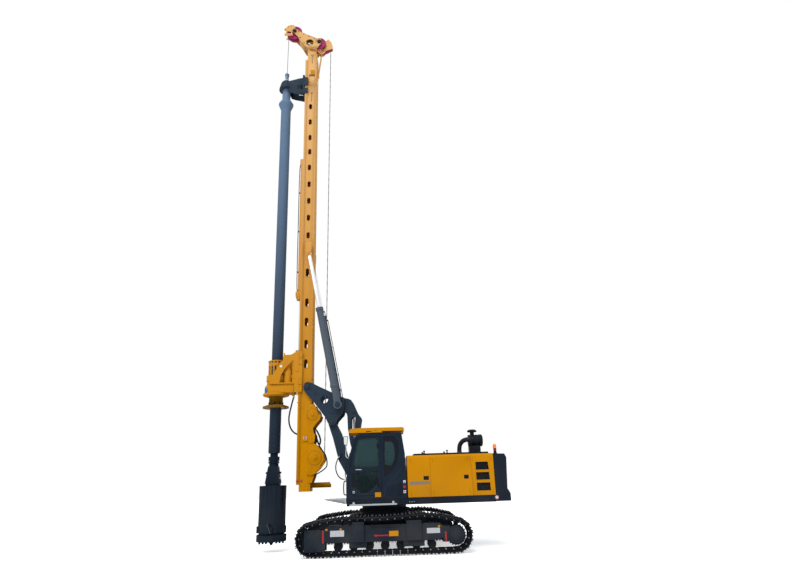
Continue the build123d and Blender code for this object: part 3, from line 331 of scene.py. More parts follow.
@dataclass(frozen=True)
class Lamp(Look):
    """Moulded lens with fine ribs, clear or coloured."""

    colour: Colour
    glow: float = 0.0

    def dress(self, g: Graph) -> None:
        """Feed the shader of its material."""
        ribs = g.node("ShaderNodeTexWave", {"wave_type": "BANDS", "bands_direction": "Z"},
            {"Vector": g.place(), "Scale": 22.0, "Distortion": 0.0}, "Fac")
        g.set("Base Color", g.mix(ribs * 0.35, self.colour, scaled(self.colour, 0.5)))
        g.set("Roughness", ribs * 0.1 + 0.12)
        g.set("Emission Color", self.colour)
        g.set("Emission Strength", self.glow)
        g.set("Coat Weight", 0.6)
        g.bump(ribs, 0.001, 0.6)


class Finish(Enum):
    """The finishes of the machine, each made once when it is first used."""

    AMBER = Paint("amber_paint", "amber_paint", (0.53, 0.212, 0.0003), rough=0.4, shine=0.06)
    # the upper colour is a painted highlight and haze, paler towards the mast head
    MAST = Paint("mast_amber", "mast_amber", (0.5, 0.2, 0.0004), (0.72, 0.4, 0.15), 2.5, 17.0, shine=0.03)
    # a darker copy of the amber: painted shade that the head casts on the sleeve
    SLEEVE = Paint("shaded_sleeve_amber", "mast_amber", (0.18, 0.085, 0.006), shine=0.1, wear=0.8)
    CAB = Paint("cab_slate", "cab_slate", (0.0065, 0.0144, 0.0275), rough=0.4, shine=0.1)
    SLATE = Paint("slate_paint", "slate_paint", (0.009, 0.0135, 0.022), shine=0.08)
    LINK = Paint("link_slate", "slate_paint", (0.024, 0.038, 0.058), shine=0.05, dust=0.05)
    RAM = Paint("ram_slate", "slate_paint", (0.08, 0.1, 0.125), shine=0.08)
    FRAME = Paint("frame_slate", "frame_slate", (0.012, 0.018, 0.028), rough=0.6, shine=0.06)
    # the upper colour is a painted highlight and haze, lighter towards the tube's top
    KELLY = Paint("kelly_slate", "kelly_slate", (0.01, 0.018, 0.032), (0.125, 0.19, 0.29), 2.5, 15.5,
        shine=0.1)
    BUCKET = Paint("bucket_black", "bucket_black", (0.008, 0.014, 0.024), rough=0.6, shine=0.04, dust=0.05,
        wear=0.8)
    GREY = Paint("light_grey", "light_grey", (0.46, 0.47, 0.49))
    BLACK = Paint("black_paint", "cab_slate", (0.004, 0.006, 0.01), shine=0.12)
    SHEAVE = Paint("sheave_red", "sheave_red", (0.36, 0.03, 0.12))
    SIGNAL_RED = Paint("signal_red", "sheave_red", (0.4, 0.004, 0.012), rough=0.3, shine=0.3)
    STRIPE = Paint("stripe_grey", "light_grey", (0.2, 0.18, 0.15), rough=0.4)
    TRACK = Steel("track_steel", "track_steel", (0.01, 0.013, 0.018), 0.2, 0.6, soil=0.1, shine=0.12)
    BARE = Steel("bare_steel", "track_steel", (0.5, 0.51, 0.53), 1.0, 0.28)
    ROPE = Steel("wire_rope", "track_steel", (0.17, 0.17, 0.18), 0.7, 0.45)
    CAST = Steel("cast_iron", "cast_engine", (0.12, 0.12, 0.125), 0.4, 0.6)
    CHROME = Chrome("ram_chrome", "chrome")
    # the lighter upper tint is a painted reflection of the sky
    GLASS = Glass("cab_glass", "glass", (0.004, 0.012, 0.013), (0.021, 0.05, 0.054), 0.82)
    RUBBER = Soft("black_rubber", "seat_black", (0.012, 0.012, 0.014), 0.6, 200.0)
    CLOTH = Soft("seat_cloth", "seat_black", (0.03, 0.032, 0.036), 0.9, 700.0, 0.0008, 0.4)
    BLUE = Paint("blank_plate_blue", "cab_slate", (0.03, 0.12, 0.38), rough=0.35, dust=0.1)
    WHITE = Paint("blank_plate_white", "light_grey", (0.7, 0.71, 0.73), rough=0.35, dust=0.1)
    UMBER = Paint("umber_mark", "mast_amber", (0.13, 0.07, 0.03), rough=0.5, dust=0.1)
    MIRROR = Steel("mirror_glass", "glass", (0.8, 0.82, 0.84), 1.0, 0.06, stain=0.05)
    ORANGE = Lamp("beacon_lens", "beacon_orange", (0.95, 0.2, 0.01), 0.25)
    LENS = Lamp("work_lamp_lens", "light_grey", (0.75, 0.76, 0.74))
    RED_LENS = Lamp("red_lens", "sheave_red", (0.5, 0.01, 0.02), 0.05)


# ---- mesh making
class Shape:
    """Vertices, faces and per-vertex numbers gathered for one mesh."""

    def __init__(self) -> None:
        """Start with nothing."""
        self.points: list[np.ndarray] = []
        self.faces: list[list[int]] = []
        self.wear: list[np.ndarray] = []
        self.count = 0

    def add(self, points: np.ndarray, faces: list[list[int]], wear: np.ndarray | None = None) -> "Shape":
        """Add a patch.

        Args:
            points: An (n, 3) array.
            faces: Loops of indices into points, counter-clockwise seen from outside.
            wear: One number a vertex, 0 where none is given.

        Returns:
            This shape.
        """
        flat = np.asarray(points, float).reshape(-1, 3)
        self.points.append(flat)
        self.faces.extend([[index + self.count for index in face] for face in faces])
        self.wear.append(np.zeros(len(flat)) if wear is None else wear)
        self.count += len(flat)
        return self

    def repeat(self, form: "Shape", places: np.ndarray, turns: np.ndarray | None = None) -> "Shape":
        """Add one small form, wear and all, at many places: point = place + turn x form point.

        Args:
            form: The form, about its own origin.
            places: An (m, 3) array of positions.
            turns: An (m, 3, 3) array of rotations, or None for none.

        Returns:
            This shape.
        """
        spots = np.atleast_2d(places)
        own = np.concatenate(form.points)
        points = np.broadcast_to(own, (len(spots), len(own), 3))
        if turns is not None:
            points = np.einsum("mij,mnj->mni", turns, points)
        every = [[index + len(own) * turn for index in face] for turn in range(len(spots))
            for face in form.faces]
        return self.add(points + spots[:, None, :], every, np.tile(np.concatenate(form.wear), len(spots)))

    def turned(self, profile: tuple, centre: Point, axis: Point = (0, 0, 1), sides: int = 32,
            ring: bool = False, wear: float = 0.0) -> "Shape":
        """Add a lathe surface: centre + radius (cos t U + sin t V) + height W.

        Args:
            profile: (radius, height) points, in order.
            centre: Where height is 0.
            axis: The direction of W.
            sides: Faces round it.
            ring: True joins the last profile point to the first instead of capping both ends.
            wear: The number kept on its vertices.
        """
        radius, height = np.array(profile, float).T
        turn = angles(sides)
        local = np.stack([np.outer(radius, np.cos(turn)), np.outer(radius, np.sin(turn)),
            np.outer(height, np.ones(sides))], axis=-1).reshape(-1, 3)
        points = local @ facing(axis).T + np.array(centre)
        faces = grid_faces(len(radius), sides, True) if ring else capped(len(radius), sides)
        return self.add(points, faces, np.full(len(points), wear))

    def collar(self, radii: tuple, heights: tuple, centre: Point, axis: Point = (0, 0, 1), sides: int = 32,
            wear: float = 0.0) -> "Shape":
        """Add a ring with a square section between (inner, outer) radii and (low, high) heights."""
        (inner, outer), (low, high) = radii, heights
        profile = ((inner, low), (outer, low), (outer, high), (inner, high))
        return self.turned(profile, centre, axis, sides, True, wear)

    def swept(self, path: np.ndarray, radius: object, sides: int = 8, closed: bool = False,
            flat: float = 1.0) -> "Shape":
        """Add a tube: path(s) + radius(s) (cos t N + sin t B), with N and B square to the path.

        Args:
            path: An (n, 3) array.
            radius: One radius or n of them.
            sides: Faces round it.
            closed: True for a loop.
            flat: The share by which it is squeezed along B.
        """
        line = np.asarray(path, float)
        ahead = np.roll(line, -1, 0) - np.roll(line, 1, 0) if closed else np.gradient(line, axis=0)
        ahead /= np.linalg.norm(ahead, axis=1, keepdims=True)
        helper = np.eye(3)[int(np.argmin(np.abs(ahead).max(axis=0)))]
        side = np.cross(ahead, helper)
        side /= np.linalg.norm(side, axis=1, keepdims=True)
        other = np.cross(ahead, side)
        turn = angles(sides)
        reach = np.broadcast_to(np.asarray(radius, float), len(line))[:, None, None]
        around = np.cos(turn)[:, None] * side[:, None] + flat * np.sin(turn)[:, None] * other[:, None]
        points = (line[:, None] + reach * around).reshape(-1, 3)
        faces = grid_faces(len(line), sides, True) if closed else capped(len(line), sides)
        return self.add(points, faces)

    def prism(self, outline: object, low: float, high: float, axis: str = "Y", wear: float = 0.0) -> "Shape":
        """Add a plate: a flat outline carried along an axis from low to high.

        Args:
            outline: (a, b) points in the other two axes, in the order of their names.
            low: Where the plate starts along the axis.
            high: Where it ends.
            axis: X, Y or Z.
            wear: The number kept on its vertices.
        """
        flat = np.array(outline, float)
        place = "XYZ".index(axis)
        points = np.empty((2, len(flat), 3))
        points[..., [i for i in range(3) if i != place]] = flat
        points[0, :, place], points[1, :, place] = low, high
        return self.add(points.reshape(-1, 3), capped(2, len(flat)), np.full(2 * len(flat), wear))

    def block(self, x: tuple, y: tuple, z: tuple, wear: float = 0.0) -> "Shape":
        """Add a straight block between (low, high) pairs."""
        return self.prism(oblong(x, z), *y, wear=wear)

    def band(self, outer: np.ndarray, inner: np.ndarray, low: float, high: float) -> "Shape":
        """Add a flat ring between two (x, z) outlines with as many points, between two Y values."""
        corners = [(outer, low), (outer, high), (inner, high), (inner, low)]
        points = np.concatenate([np.insert(flat, 1, y, axis=1) for flat, y in corners])
        return self.add(points, grid_faces(4, len(outer), True))

    def bolts(self, places: object, axis: Point, radius: float = 0.014, height: float = 0.012,
            wear: float = 0.3) -> "Shape":
        """Add hexagon heads with a chamfered top at many places, all along one axis."""
        turn = angles(6)
        rings = [np.stack([r * np.cos(turn), r * np.sin(turn), np.full(6, h)], axis=1) for r,
            h in ((radius, 0.0), (radius, height * 0.75), (radius * 0.8, height))]
        head = np.concatenate(rings) @ facing(axis).T
        return self.repeat(Shape().add(head, capped(3, 6), np.full(18, wear)), np.array(places, float))

    def both(self) -> "Shape":
        """Add the mirror image, across the middle plane Y = 0, of all that it holds."""
        faces = [face[::-1] for face in self.faces]
        return self.add(np.concatenate(self.points) * (1, -1, 1), faces, np.concatenate(self.wear))

    def build(self, name: str, finish: Finish, body: str, *nodes: str,
            bevel: float = 0.0) -> bpy.types.Object:
        """Make the object, dress it and let it ride.

        Args:
            name: The piece's name.
            finish: Its finish.
            body: The body that it rides on.
            nodes: Solid nodes that it replaces.
            bevel: Width of a bevel on its sharp edges, in metres.

        Returns:
            The object.
        """
        mesh = bpy.data.meshes.new(name)
        mesh.from_pydata(np.concatenate(self.points).tolist(), [], self.faces)
        form = bmesh.new()
        form.from_mesh(mesh)
        bmesh.ops.recalc_face_normals(form, faces=form.faces)
        form.to_mesh(mesh)
        form.free()
        worn = np.concatenate(self.wear)
        if worn.any():
            layer = mesh.attributes.new("wear", "FLOAT", "POINT")
            layer.data.foreach_set("value", worn.astype(np.float32))
        return finished(mesh, finish, body, nodes, bevel, 40.0)


def finished(mesh: bpy.types.Mesh, finish: Finish, body: str, nodes: tuple[str, ...], bevel: float,
        smooth: float) -> bpy.types.Object:
    """Turn a mesh into a dressed piece of the machine.

    Args:
        mesh: The mesh, with the piece's name, in the machine's own frame.
        finish: Its finish.
        body: The body that it rides on.
        nodes: Solid nodes that it replaces.
        bevel: Width of a bevel on its sharp edges, in metres.
        smooth: Edges under this angle, in degrees, are shaded smooth.

    Returns:
        The object.
    """
    piece = placed(mesh.name, mesh)
    mesh.materials.append(finish.value.material())
    mesh.shade_smooth()
    mesh.set_sharp_from_angle(angle=math.radians(smooth))
    if bevel > 0:
        modifier = piece.modifiers.new("rounded_edges", "BEVEL")
        modifier.width = bevel
        modifier.segments = 2
        modifier.limit_method = "ANGLE"
        modifier.angle_limit = math.radians(35)
        modifier.harden_normals = True
        modifier.use_clamp_overlap = True
    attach(piece, body)
    if nodes:
        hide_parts(*nodes)
    log.info("%s: %d faces on %s", mesh.name, len(mesh.polygons), body)
    return piece


def clad(node: str, finish: Finish, bevel: float) -> bpy.types.Object:
    """A cleaned, softly bevelled copy of a solid node that stands for it.

    Args:
        node: The solid node.
        finish: The finish of the copy.
        bevel: Width of the bevel on its sharp edges, in metres.

    Returns:
        The copy.
    """
    body = next(name for name, nodes in frame["record"]["behaviour"]["bodies"].items() if node in nodes)
    form = bmesh.new()
    form.from_mesh(frame["nodes"][node].data)
    bmesh.ops.remove_doubles(form, verts=form.verts, dist=1e-5)
    bmesh.ops.dissolve_limit(form, angle_limit=math.radians(0.5), verts=form.verts, edges=form.edges)
    many = [face for face in form.faces if len(face.verts) > 4]
    bmesh.ops.triangulate(form, faces=many, ngon_method="EAR_CLIP")
    mesh = bpy.data.meshes.new(node + "_skin")
    form.to_mesh(mesh)
    form.free()
    mesh.materials.clear()
    return finished(mesh, finish, body, (node,), bevel, 32.0)


# ---- surfaces
def angles(count: int) -> np.ndarray:
    """Evenly spaced angles round a full turn, from 0."""
    return np.linspace(0, math.tau, count, endpoint=False)


def grid_faces(rows: int, columns: int, ring: bool = False) -> list[list[int]]:
    """Quads of a grid of closed rows; ring joins the last row to the first."""
    spans = rows if ring else rows - 1
    row, column = (a.ravel() for a in np.mgrid[0:spans, 0:columns])
    beside, above = (column + 1) % columns, (row + 1) % rows
    quads = (row * columns + column, row * columns + beside, above * columns + beside,
        above * columns + column)
    return np.stack(quads, axis=1).tolist()


def capped(rows: int, columns: int) -> list[list[int]]:
    """Quads of a grid of closed rows with a face over each end."""
    last = (rows - 1) * columns
    return grid_faces(rows, columns) + [list(range(columns))[::-1], list(range(last, last + columns))]


def span(side: float, inner: float, outer: float) -> list[float]:
    """The low and the high Y of what lies between two distances from the middle, on one side."""
    return sorted((side * inner, side * outer))


def facing(axis: Point) -> np.ndarray:
    """A rotation, as columns U, V, W, whose W runs along the axis."""
    ahead = np.array(axis, float) / np.linalg.norm(axis)
    helper = np.eye(3)[int(np.argmin(np.abs(ahead)))]
    across = np.cross(helper, ahead)
    across /= np.linalg.norm(across)
    return np.stack([across, np.cross(ahead, across), ahead], axis=1)


def smooth_path(points: tuple, steps: int = 6) -> np.ndarray:
    """A route with its corners rounded: each corner P becomes (1-t)^2 A + 2t(1-t) P + t^2 B.

    Args:
        points: The corners; A and B are the middles of the runs before and after each one.
        steps: Points on each bend.

    Returns:
        The route as an array.
    """
    line = np.array(points, float)
    start = np.vstack([line[:1], (line[1:-2] + line[2:-1]) / 2])
    end = np.vstack([(line[1:-2] + line[2:-1]) / 2, line[-1:]])
    t = np.linspace(0, 1, steps + 1)[None, :, None]
    bend = (1 - t) ** 2 * start[:, None] + 2 * t * (1 - t) * line[1:-1, None] + t ** 2 * end[:, None]
    return np.vstack([bend[:, :-1].reshape(-1, 3), line[-1:]])


def boss(radius: float, rise: float, crown: float, top: float) -> tuple:
    """The profile of a round boss: a straight wall up to the rise, then in to the crown at the top."""
    return ((radius, 0.0), (radius, rise), (crown, top))


def oblong(x: tuple, z: tuple) -> tuple:
    """The corners of a rectangle between two (low, high) pairs."""
    return ((x[0], z[0]), (x[1], z[0]), (x[1], z[1]), (x[0], z[1]))


def moved(outline: np.ndarray, distance: float) -> np.ndarray:
    """An outline offset outwards: each point moves by d (m + n) / (1 + m.n), m and n its edges' normals."""
    run = np.roll(outline, -1, 0) - outline
    area = np.sum(outline[:, 0] * np.roll(outline[:, 1], -1) - np.roll(outline[:, 0], -1) * outline[:, 1])
    normal = np.stack([run[:, 1], -run[:, 0]], axis=1) * np.sign(area)
    normal /= np.linalg.norm(normal, axis=1, keepdims=True)
    before = np.roll(normal, 1, 0)
    share = 1 + np.sum(normal * before, axis=1, keepdims=True)
    return outline + distance * (normal + before) / np.maximum(share, 0.3)


def rounded(outline: object, radius: float, steps: int = 4) -> np.ndarray:
    """An outline with each corner P replaced by (1-t)^2 A + 2t(1-t) P + t^2 B, A and B within the radius."""
    flat = np.array(outline, float)
    back, ahead = np.roll(flat, 1, 0) - flat, np.roll(flat, -1, 0) - flat
    reach_back = np.minimum(radius, 0.48 * np.linalg.norm(back, axis=1))[:, None]
    reach_ahead = np.minimum(radius, 0.48 * np.linalg.norm(ahead, axis=1))[:, None]
    start = flat + back / np.linalg.norm(back, axis=1, keepdims=True) * reach_back
    end = flat + ahead / np.linalg.norm(ahead, axis=1, keepdims=True) * reach_ahead
    t = np.linspace(0, 1, steps + 1)[None, :, None]
    return ((1 - t) ** 2 * start[:, None] + 2 * t * (1 - t) * flat[:, None] + t ** 2
        * end[:, None]).reshape(-1, 2)


def even(outline: np.ndarray, count: int) -> np.ndarray:
    """An outline resampled to evenly spaced points, from the one with the greatest x."""
    flat = np.roll(outline, -int(np.argmax(outline[:, 0])), 0)
    loop = np.vstack([flat, flat[:1]])
    travel = np.concatenate([[0], np.cumsum(np.linalg.norm(np.diff(loop, axis=0), axis=1))])
    spots = np.linspace(0, travel[-1], count, endpoint=False)
    return np.stack([np.interp(spots, travel, loop[:, i]) for i in (0, 1)], axis=1)


def circle(centre: Point, radius: float, count: int, axis: Point = (0, 0, 1), start: float = 0.0,
        sweep: float = math.tau) -> np.ndarray:
    """Evenly spaced places round an axis: centre + radius (cos t U + sin t V)."""
    turn = start + np.arange(count) * sweep / count
    u, v, _ = facing(axis).T
    return np.array(centre) + radius * (np.outer(np.cos(turn), u) + np.outer(np.sin(turn), v))


# ---- studio
@dataclass(frozen=True)
class Studio:
    """The floor, the light and the camera."""

    camera: Point = (-0.204, 18.739, 1.908)
    lens: float = 26.37
    yaw: float = -0.0219
    pitch: float = 0.3202
    roll: float = 0.0326
    floor_half: float = 60.0

    def build(self) -> None:
        """Make the floor, the world, the sun and the camera."""
        self.floor()
        self.world()
        self.lamps()
        self.viewpoint()

    def floor(self) -> None:
        """A pale floor that shows white to the camera and keeps the shadow."""
        half = self.floor_half
        mesh = bpy.data.meshes.new("floor")
        mesh.from_pydata([(-half, -half, 0), (half, -half, 0), (half, half, 0), (-half, half, 0)], [],
            [(0, 1, 2, 3)])
        ground = placed("floor", mesh)
        g = Graph("studio_floor")
        g.set("Base Color", (0.93, 0.93, 0.93))
        g.set("Roughness", 0.9)
        g.set("Emission Color", (1.0, 1.0, 1.0))
        g.set("Emission Strength", g.node("ShaderNodeLightPath", {}, {}, "Is Camera Ray") * 0.5)
        mesh.materials.append(g.material)

    def world(self) -> None:
        """A soft grey sky that the camera, metal and glass see as white."""
        world = bpy.data.worlds.new("soft_sky")
        bpy.context.scene.world = world
        world.use_nodes = True
        nodes, links = world.node_tree.nodes, world.node_tree.links
        nodes.clear()
        path = nodes.new("ShaderNodeLightPath")
        seen = path.outputs["Is Camera Ray"]
        for ray in ("Is Transmission Ray", "Is Glossy Ray"):
            either = nodes.new("ShaderNodeMath")
            either.operation = "MAXIMUM"
            links.new(seen, either.inputs[0])
            links.new(path.outputs[ray], either.inputs[1])
            seen = either.outputs[0]
        mix = nodes.new("ShaderNodeMixShader")
        links.new(seen, mix.inputs[0])
        for place, colour, strength in ((1, (0.86, 0.93, 1.0, 1.0), 0.75), (2, (1.0, 1.0, 1.0, 1.0), 1.0)):
            sky = nodes.new("ShaderNodeBackground")
            sky.inputs["Color"].default_value = colour
            sky.inputs["Strength"].default_value = strength
            links.new(sky.outputs[0], mix.inputs[place])
        links.new(mix.outputs[0], nodes.new("ShaderNodeOutputWorld").inputs[0])

    def lamps(self) -> None:
        """A wide, soft sun from high on the cab side."""
        data = bpy.data.lights.new("sun", "SUN")
        data.energy = 1.9
        data.angle = math.radians(35)
        data.color = (1.0, 0.97, 0.92)
        sun = placed("sun", data)
        sun.rotation_euler = (math.radians(-38), math.radians(18), 0)

    def viewpoint(self) -> None:
        """The camera: its axes are worked out from yaw, pitch and roll."""
        ahead = np.array([math.sin(self.yaw), -math.cos(self.yaw), 0.0])
        right = np.cross(ahead, (0, 0, 1))
        look = ahead * math.cos(self.pitch) + np.array([0, 0, math.sin(self.pitch)])
        lift = np.cross(right, look)
        matrix = np.eye(4)
        matrix[:3, 0] = right * math.cos(self.roll) - lift * math.sin(self.roll)
        matrix[:3, 1] = right * math.sin(self.roll) + lift * math.cos(self.roll)
        matrix[:3, 2], matrix[:3, 3] = -look, self.camera
        data = bpy.data.cameras.new("viewpoint")
        data.lens = self.lens
        data.sensor_width = 36.0
        camera = placed("viewpoint", data)
        camera.matrix_world = Matrix(matrix.tolist())
        bpy.context.scene.camera = camera


class Assembly:
    """A part of the machine: the skins of its solid nodes, then its fittings, step by step."""

    skins: ClassVar[tuple[tuple[Finish, float, str], ...]] = ()
    steps: ClassVar[tuple[str, ...]] = ()

    def build(self) -> None:
        """Make every skin (finish, bevel in metres, names of the nodes), then run every step in order."""
        for finish, bevel, nodes in self.skins:
            for node in nodes.split():
                clad(node, finish, bevel)
        for step in self.steps:
            getattr(self, step)()


# ---- undercarriage
@dataclass(frozen=True)
class Crawler(Assembly):
    """One crawler: its shoes and chain, and the fittings of its frame."""

    name: str
    side: float
    centre: float = 1.75
    wheel_x: float = 1.93
    wheel_z: float = 0.455
    shoe_radius: float = 0.415
    shoes: int = 51
    half_width: float = 0.35
    grouser: float = 0.04
    thickness: float = 0.025
    face: float = 1.99
    top_run: tuple = ((1.93, 0.87), (1.15, 0.968), (0.55, 0.962), (-0.05, 0.958), (-0.6, 0.984), (-1.1, 1.01),
        (-1.5, 0.975), (-1.93, 0.87))

    def pins(self) -> np.ndarray:
        """Evenly spaced (x, z) points on the loop: top run, rear wheel, ground, front wheel."""
        rear = np.radians(np.arange(100, 270, 10))
        front = np.radians(np.arange(-80, 90, 10))
        low = self.wheel_z - self.shoe_radius
        arcs = [np.stack([x + self.shoe_radius * np.cos(a), self.wheel_z + self.shoe_radius * np.sin(a)],
            axis=1) for x, a in ((-self.wheel_x, rear), (self.wheel_x, front))]
        ground = np.array([(-self.wheel_x, low), (self.wheel_x, low)])
        line = np.vstack([self.top_run, arcs[0], ground, arcs[1], self.top_run[:1]])
        travel = np.concatenate([[0], np.cumsum(np.linalg.norm(np.diff(line, axis=0), axis=1))])
        spots = np.linspace(0, travel[-1], self.shoes, endpoint=False)
        return np.stack([np.interp(spots, travel, line[:, i]) for i in (0, 1)], axis=1)

    def placed(self) -> tuple[np.ndarray, np.ndarray, float]:
        """The middle and the turn of each shoe, and the pitch; a turn's columns are back, Y and out."""
        pins = self.pins()
        run = np.roll(pins, -1, 0) - pins
        pitch = float(np.linalg.norm(run, axis=1).mean())
        run /= np.linalg.norm(run, axis=1, keepdims=True)
        middle = (np.roll(pins, -1, 0) + pins) / 2
        spots = np.stack([middle[:, 0], np.full(len(pins), self.side * self.centre), middle[:, 1]], axis=1)
        still = np.zeros(len(pins))
        back = np.stack([-run[:, 0], still, -run[:, 1]], axis=1)
        across = np.stack([still, still + 1, still], axis=1)
        out = np.stack([run[:, 1], still, -run[:, 0]], axis=1)
        return spots, np.stack([back, across, out], axis=2), pitch

    def shoe(self, pitch: float) -> Shape:
        """A shoe with three grousers that are lower at their ends and worn on top."""
        top = [(-0.47, 0), (-0.448, 1), (-0.412, 1), (-0.35, 0), (-0.06, 0), (-0.018, 1), (0.018, 1),
            (0.06, 0), (0.35, 0), (0.412, 1), (0.448, 1), (0.47, 0)]
        share, height = np.array(top).T
        share, height = np.append(share, [0.47, -0.47]), np.append(height, [-1.0, -1.0])
        rows = []
        for y, rise in ((-1.0, 0.5), (-0.94, 1.0), (0.94, 1.0), (1.0, 0.5)):
            lift = np.where(height > 0, height * self.grouser * rise,
                np.where(height < 0, -self.thickness, 0))
            rows.append(np.stack([share * pitch, np.full(len(share), y * self.half_width), lift], axis=1))
        worn = np.outer((0, 0.78, 0.78, 0), height > 0).ravel()
        return Shape().add(np.concatenate(rows), capped(4, len(share)), worn)

    def links(self, shape: Shape, spots: np.ndarray, turns: np.ndarray, pitch: float) -> None:
        """Two rows of link plates with rounded ends, and a pin through each joint."""
        outline = np.array([(-0.52, -0.062), (-0.44, -0.026), (0.44, -0.026), (0.52, -0.062), (0.5, -0.09),
            (0.4, -0.104), (-0.4, -0.104), (-0.5, -0.09)]) * (pitch, 1.0)
        for row in (-1, 1):
            for odd in (0, 1):
                plates = Shape()
                middle = row * (0.088 + 0.016 * odd)
                plates.prism(outline, middle - 0.017, middle + 0.017)
                shape.repeat(plates, spots[odd::2], turns[odd::2])
        pin = Shape()
        pin.turned(((0.013, -0.13), (0.018, -0.127), (0.018, 0.127), (0.013, 0.13)), (0.5 * pitch, 0, -0.066),
            (0, 1, 0), 10)
        pin.wear[-1] = 0.8 * (np.abs(pin.points[0][:, 1]) > 0.12)
        shape.repeat(pin, spots, turns)

    def chain(self) -> None:
        """The loop of shoes, links, pins and shoe bolts."""
        spots, turns, pitch = self.placed()
        shape = Shape()
        shape.repeat(self.shoe(pitch), spots, turns)
        self.links(shape, spots, turns, pitch)
        head = Shape()
        head.bolts([(u * pitch, y, 0) for u in (-0.2, 0.2) for y in (-0.09, 0.09)], (0, 0, 1), 0.013, 0.011,
            0)
        shape.repeat(head, spots, turns)
        shape.build(f"{self.name}_shoes_and_chain", Finish.TRACK, "undercarriage", f"track_{self.name}")

    def plate(self, name: str, finish: Finish, outline: tuple, thick: float = 0.006,
            inset: float = 0) -> None:
        """A thin plate on the frame's outer face."""
        low, high = sorted((self.side * (self.face + inset), self.side * (self.face + inset + thick)))
        Shape().prism(outline, low, high).build(f"{self.name}_{name}", finish, "undercarriage", bevel=0.002)

    def fittings(self) -> None:
        """Plates, marks, a black plate of painted shade in the recess, and bolts on the outer face."""
        self.plate("front_grey_plate", Finish.GREY, oblong((1.06, 1.43), (0.51, 0.66)))
        self.plate("rear_grey_plate", Finish.GREY, oblong((-1.49, -1.14), (0.52, 0.65)))
        self.plate("front_reflector", Finish.SIGNAL_RED, oblong((1.6, 1.64), (0.36, 0.67)))
        self.plate("rear_reflector", Finish.SIGNAL_RED, oblong((-1.66, -1.62), (0.31, 0.55)))
        self.plate("blank_plate", Finish.AMBER, oblong((-0.38, -0.135), (0.48, 0.61)))
        self.plate("travel_mark", Finish.SIGNAL_RED, ((-0.13, 0.49), (0.2, 0.49), (0.2, 0.465), (0.28, 0.505),
            (0.2, 0.545), (0.2, 0.52), (-0.13, 0.52)))
        # painted shade: a thin black plate stands for the shade inside the recess between the pads
        self.plate("recess_shade", Finish.BLACK, ((-0.5, 0.765), (0.42, 0.765), (0.34, 0.685), (-0.42, 0.685)),
            0.003)
        for number, x in enumerate((1.5, 1.12, -1.5)):
            self.plate(f"small_plate_{number}", Finish.AMBER, oblong((x, x + 0.06), (0.665, 0.71)))
        shape = Shape()
        outward = (0, self.side, 0)
        wall = self.side * self.face
        ends = [(x, wall, z) for x in (1.66, 1.84, 2.02) for z in (0.2, 0.64)]
        ends += [(x, wall, z) for x in (-1.72, -1.6) for z in (0.36, 0.64)]
        shape.bolts(ends, outward, 0.02, 0.018)
        pads = [(x, self.side * 2.05, z) for x in (0.58, 0.685, 0.79, -0.95, -0.8, -0.65)
            for z in (0.43, 0.8)]
        shape.bolts(pads, outward, 0.017, 0.014)
        shape.bolts(circle((-self.wheel_x, self.side * 2.055, self.wheel_z), 0.163, 14, (0, 1, 0)), outward,
            0.012, 0.01)
        shape.bolts(circle((-self.wheel_x, self.side * 2.075, self.wheel_z), 0.09, 6, (0, 1, 0)), outward,
            0.011, 0.008)
        shape.build(f"{self.name}_frame_bolts", Finish.FRAME, "undercarriage")

    def wheels(self) -> None:
        """Rims on the idler and flanges, hubs and caps on the rollers."""
        shape = Shape()
        y = self.side * self.centre
        for inner, outer in ((-0.084, -0.05), (0.05, 0.084)):
            shape.collar((0.2, 0.296), (inner, outer), (self.wheel_x, y, self.wheel_z), (0, 1, 0), sides=48,
                wear=0.4)
        for x in (-1.27, -0.853, -0.436, -0.02, 0.397, 0.813, 1.23):
            for inner, outer in ((-0.112, -0.092), (0.092, 0.112)):
                shape.collar((0.05, 0.118), (inner, outer), (x, y, 0.25), (0, 1, 0), sides=28, wear=0.5)
            shape.turned(((0.042, -0.125), (0.05, -0.118), (0.05, 0.118), (0.042, 0.125)), (x, y, 0.25),
                (0, 1, 0), 16)
        shape.build(f"{self.name}_rims_and_flanges", Finish.TRACK, "undercarriage")
        for node in (f"track_wheels_{self.name}", f"track_frame_{self.name}"):
            clad(node, Finish.FRAME, 0.006)
    steps = ("chain", "wheels", "fittings")

@dataclass(frozen=True)
class CarBody:
    """The middle of the undercarriage with the slewing ring on it."""

    ring_radius: float = 0.7
    ring_top: float = 1.11

    def build(self) -> None:
        """Dress the body and add the ring's teeth and bolts."""
        clad("car_body", Finish.FRAME, 0.006)
        clad("final_drive_covers", Finish.FRAME, 0.006)
        shape = Shape()
        shape.bolts(circle((0, 0, self.ring_top), self.ring_radius, 40), (0, 0, 1), 0.018, 0.003)
        turn = angles(480)
        radius = 0.742 + 0.012 * np.clip(2.2 * np.sin(60 * turn), -1, 1)
        outline = np.stack([radius * np.cos(turn), radius * np.sin(turn)], axis=1)
        shape.prism(outline, 1.03, 1.095, "Z", 0.3)
        shape.build("slewing_ring_teeth", Finish.TRACK, "undercarriage")
        Shape().block((-0.35, 0.35), (0.76, 0.768), (0.6, 0.88)).both().build("car_body_covers", Finish.FRAME,
            "undercarriage", bevel=0.004)


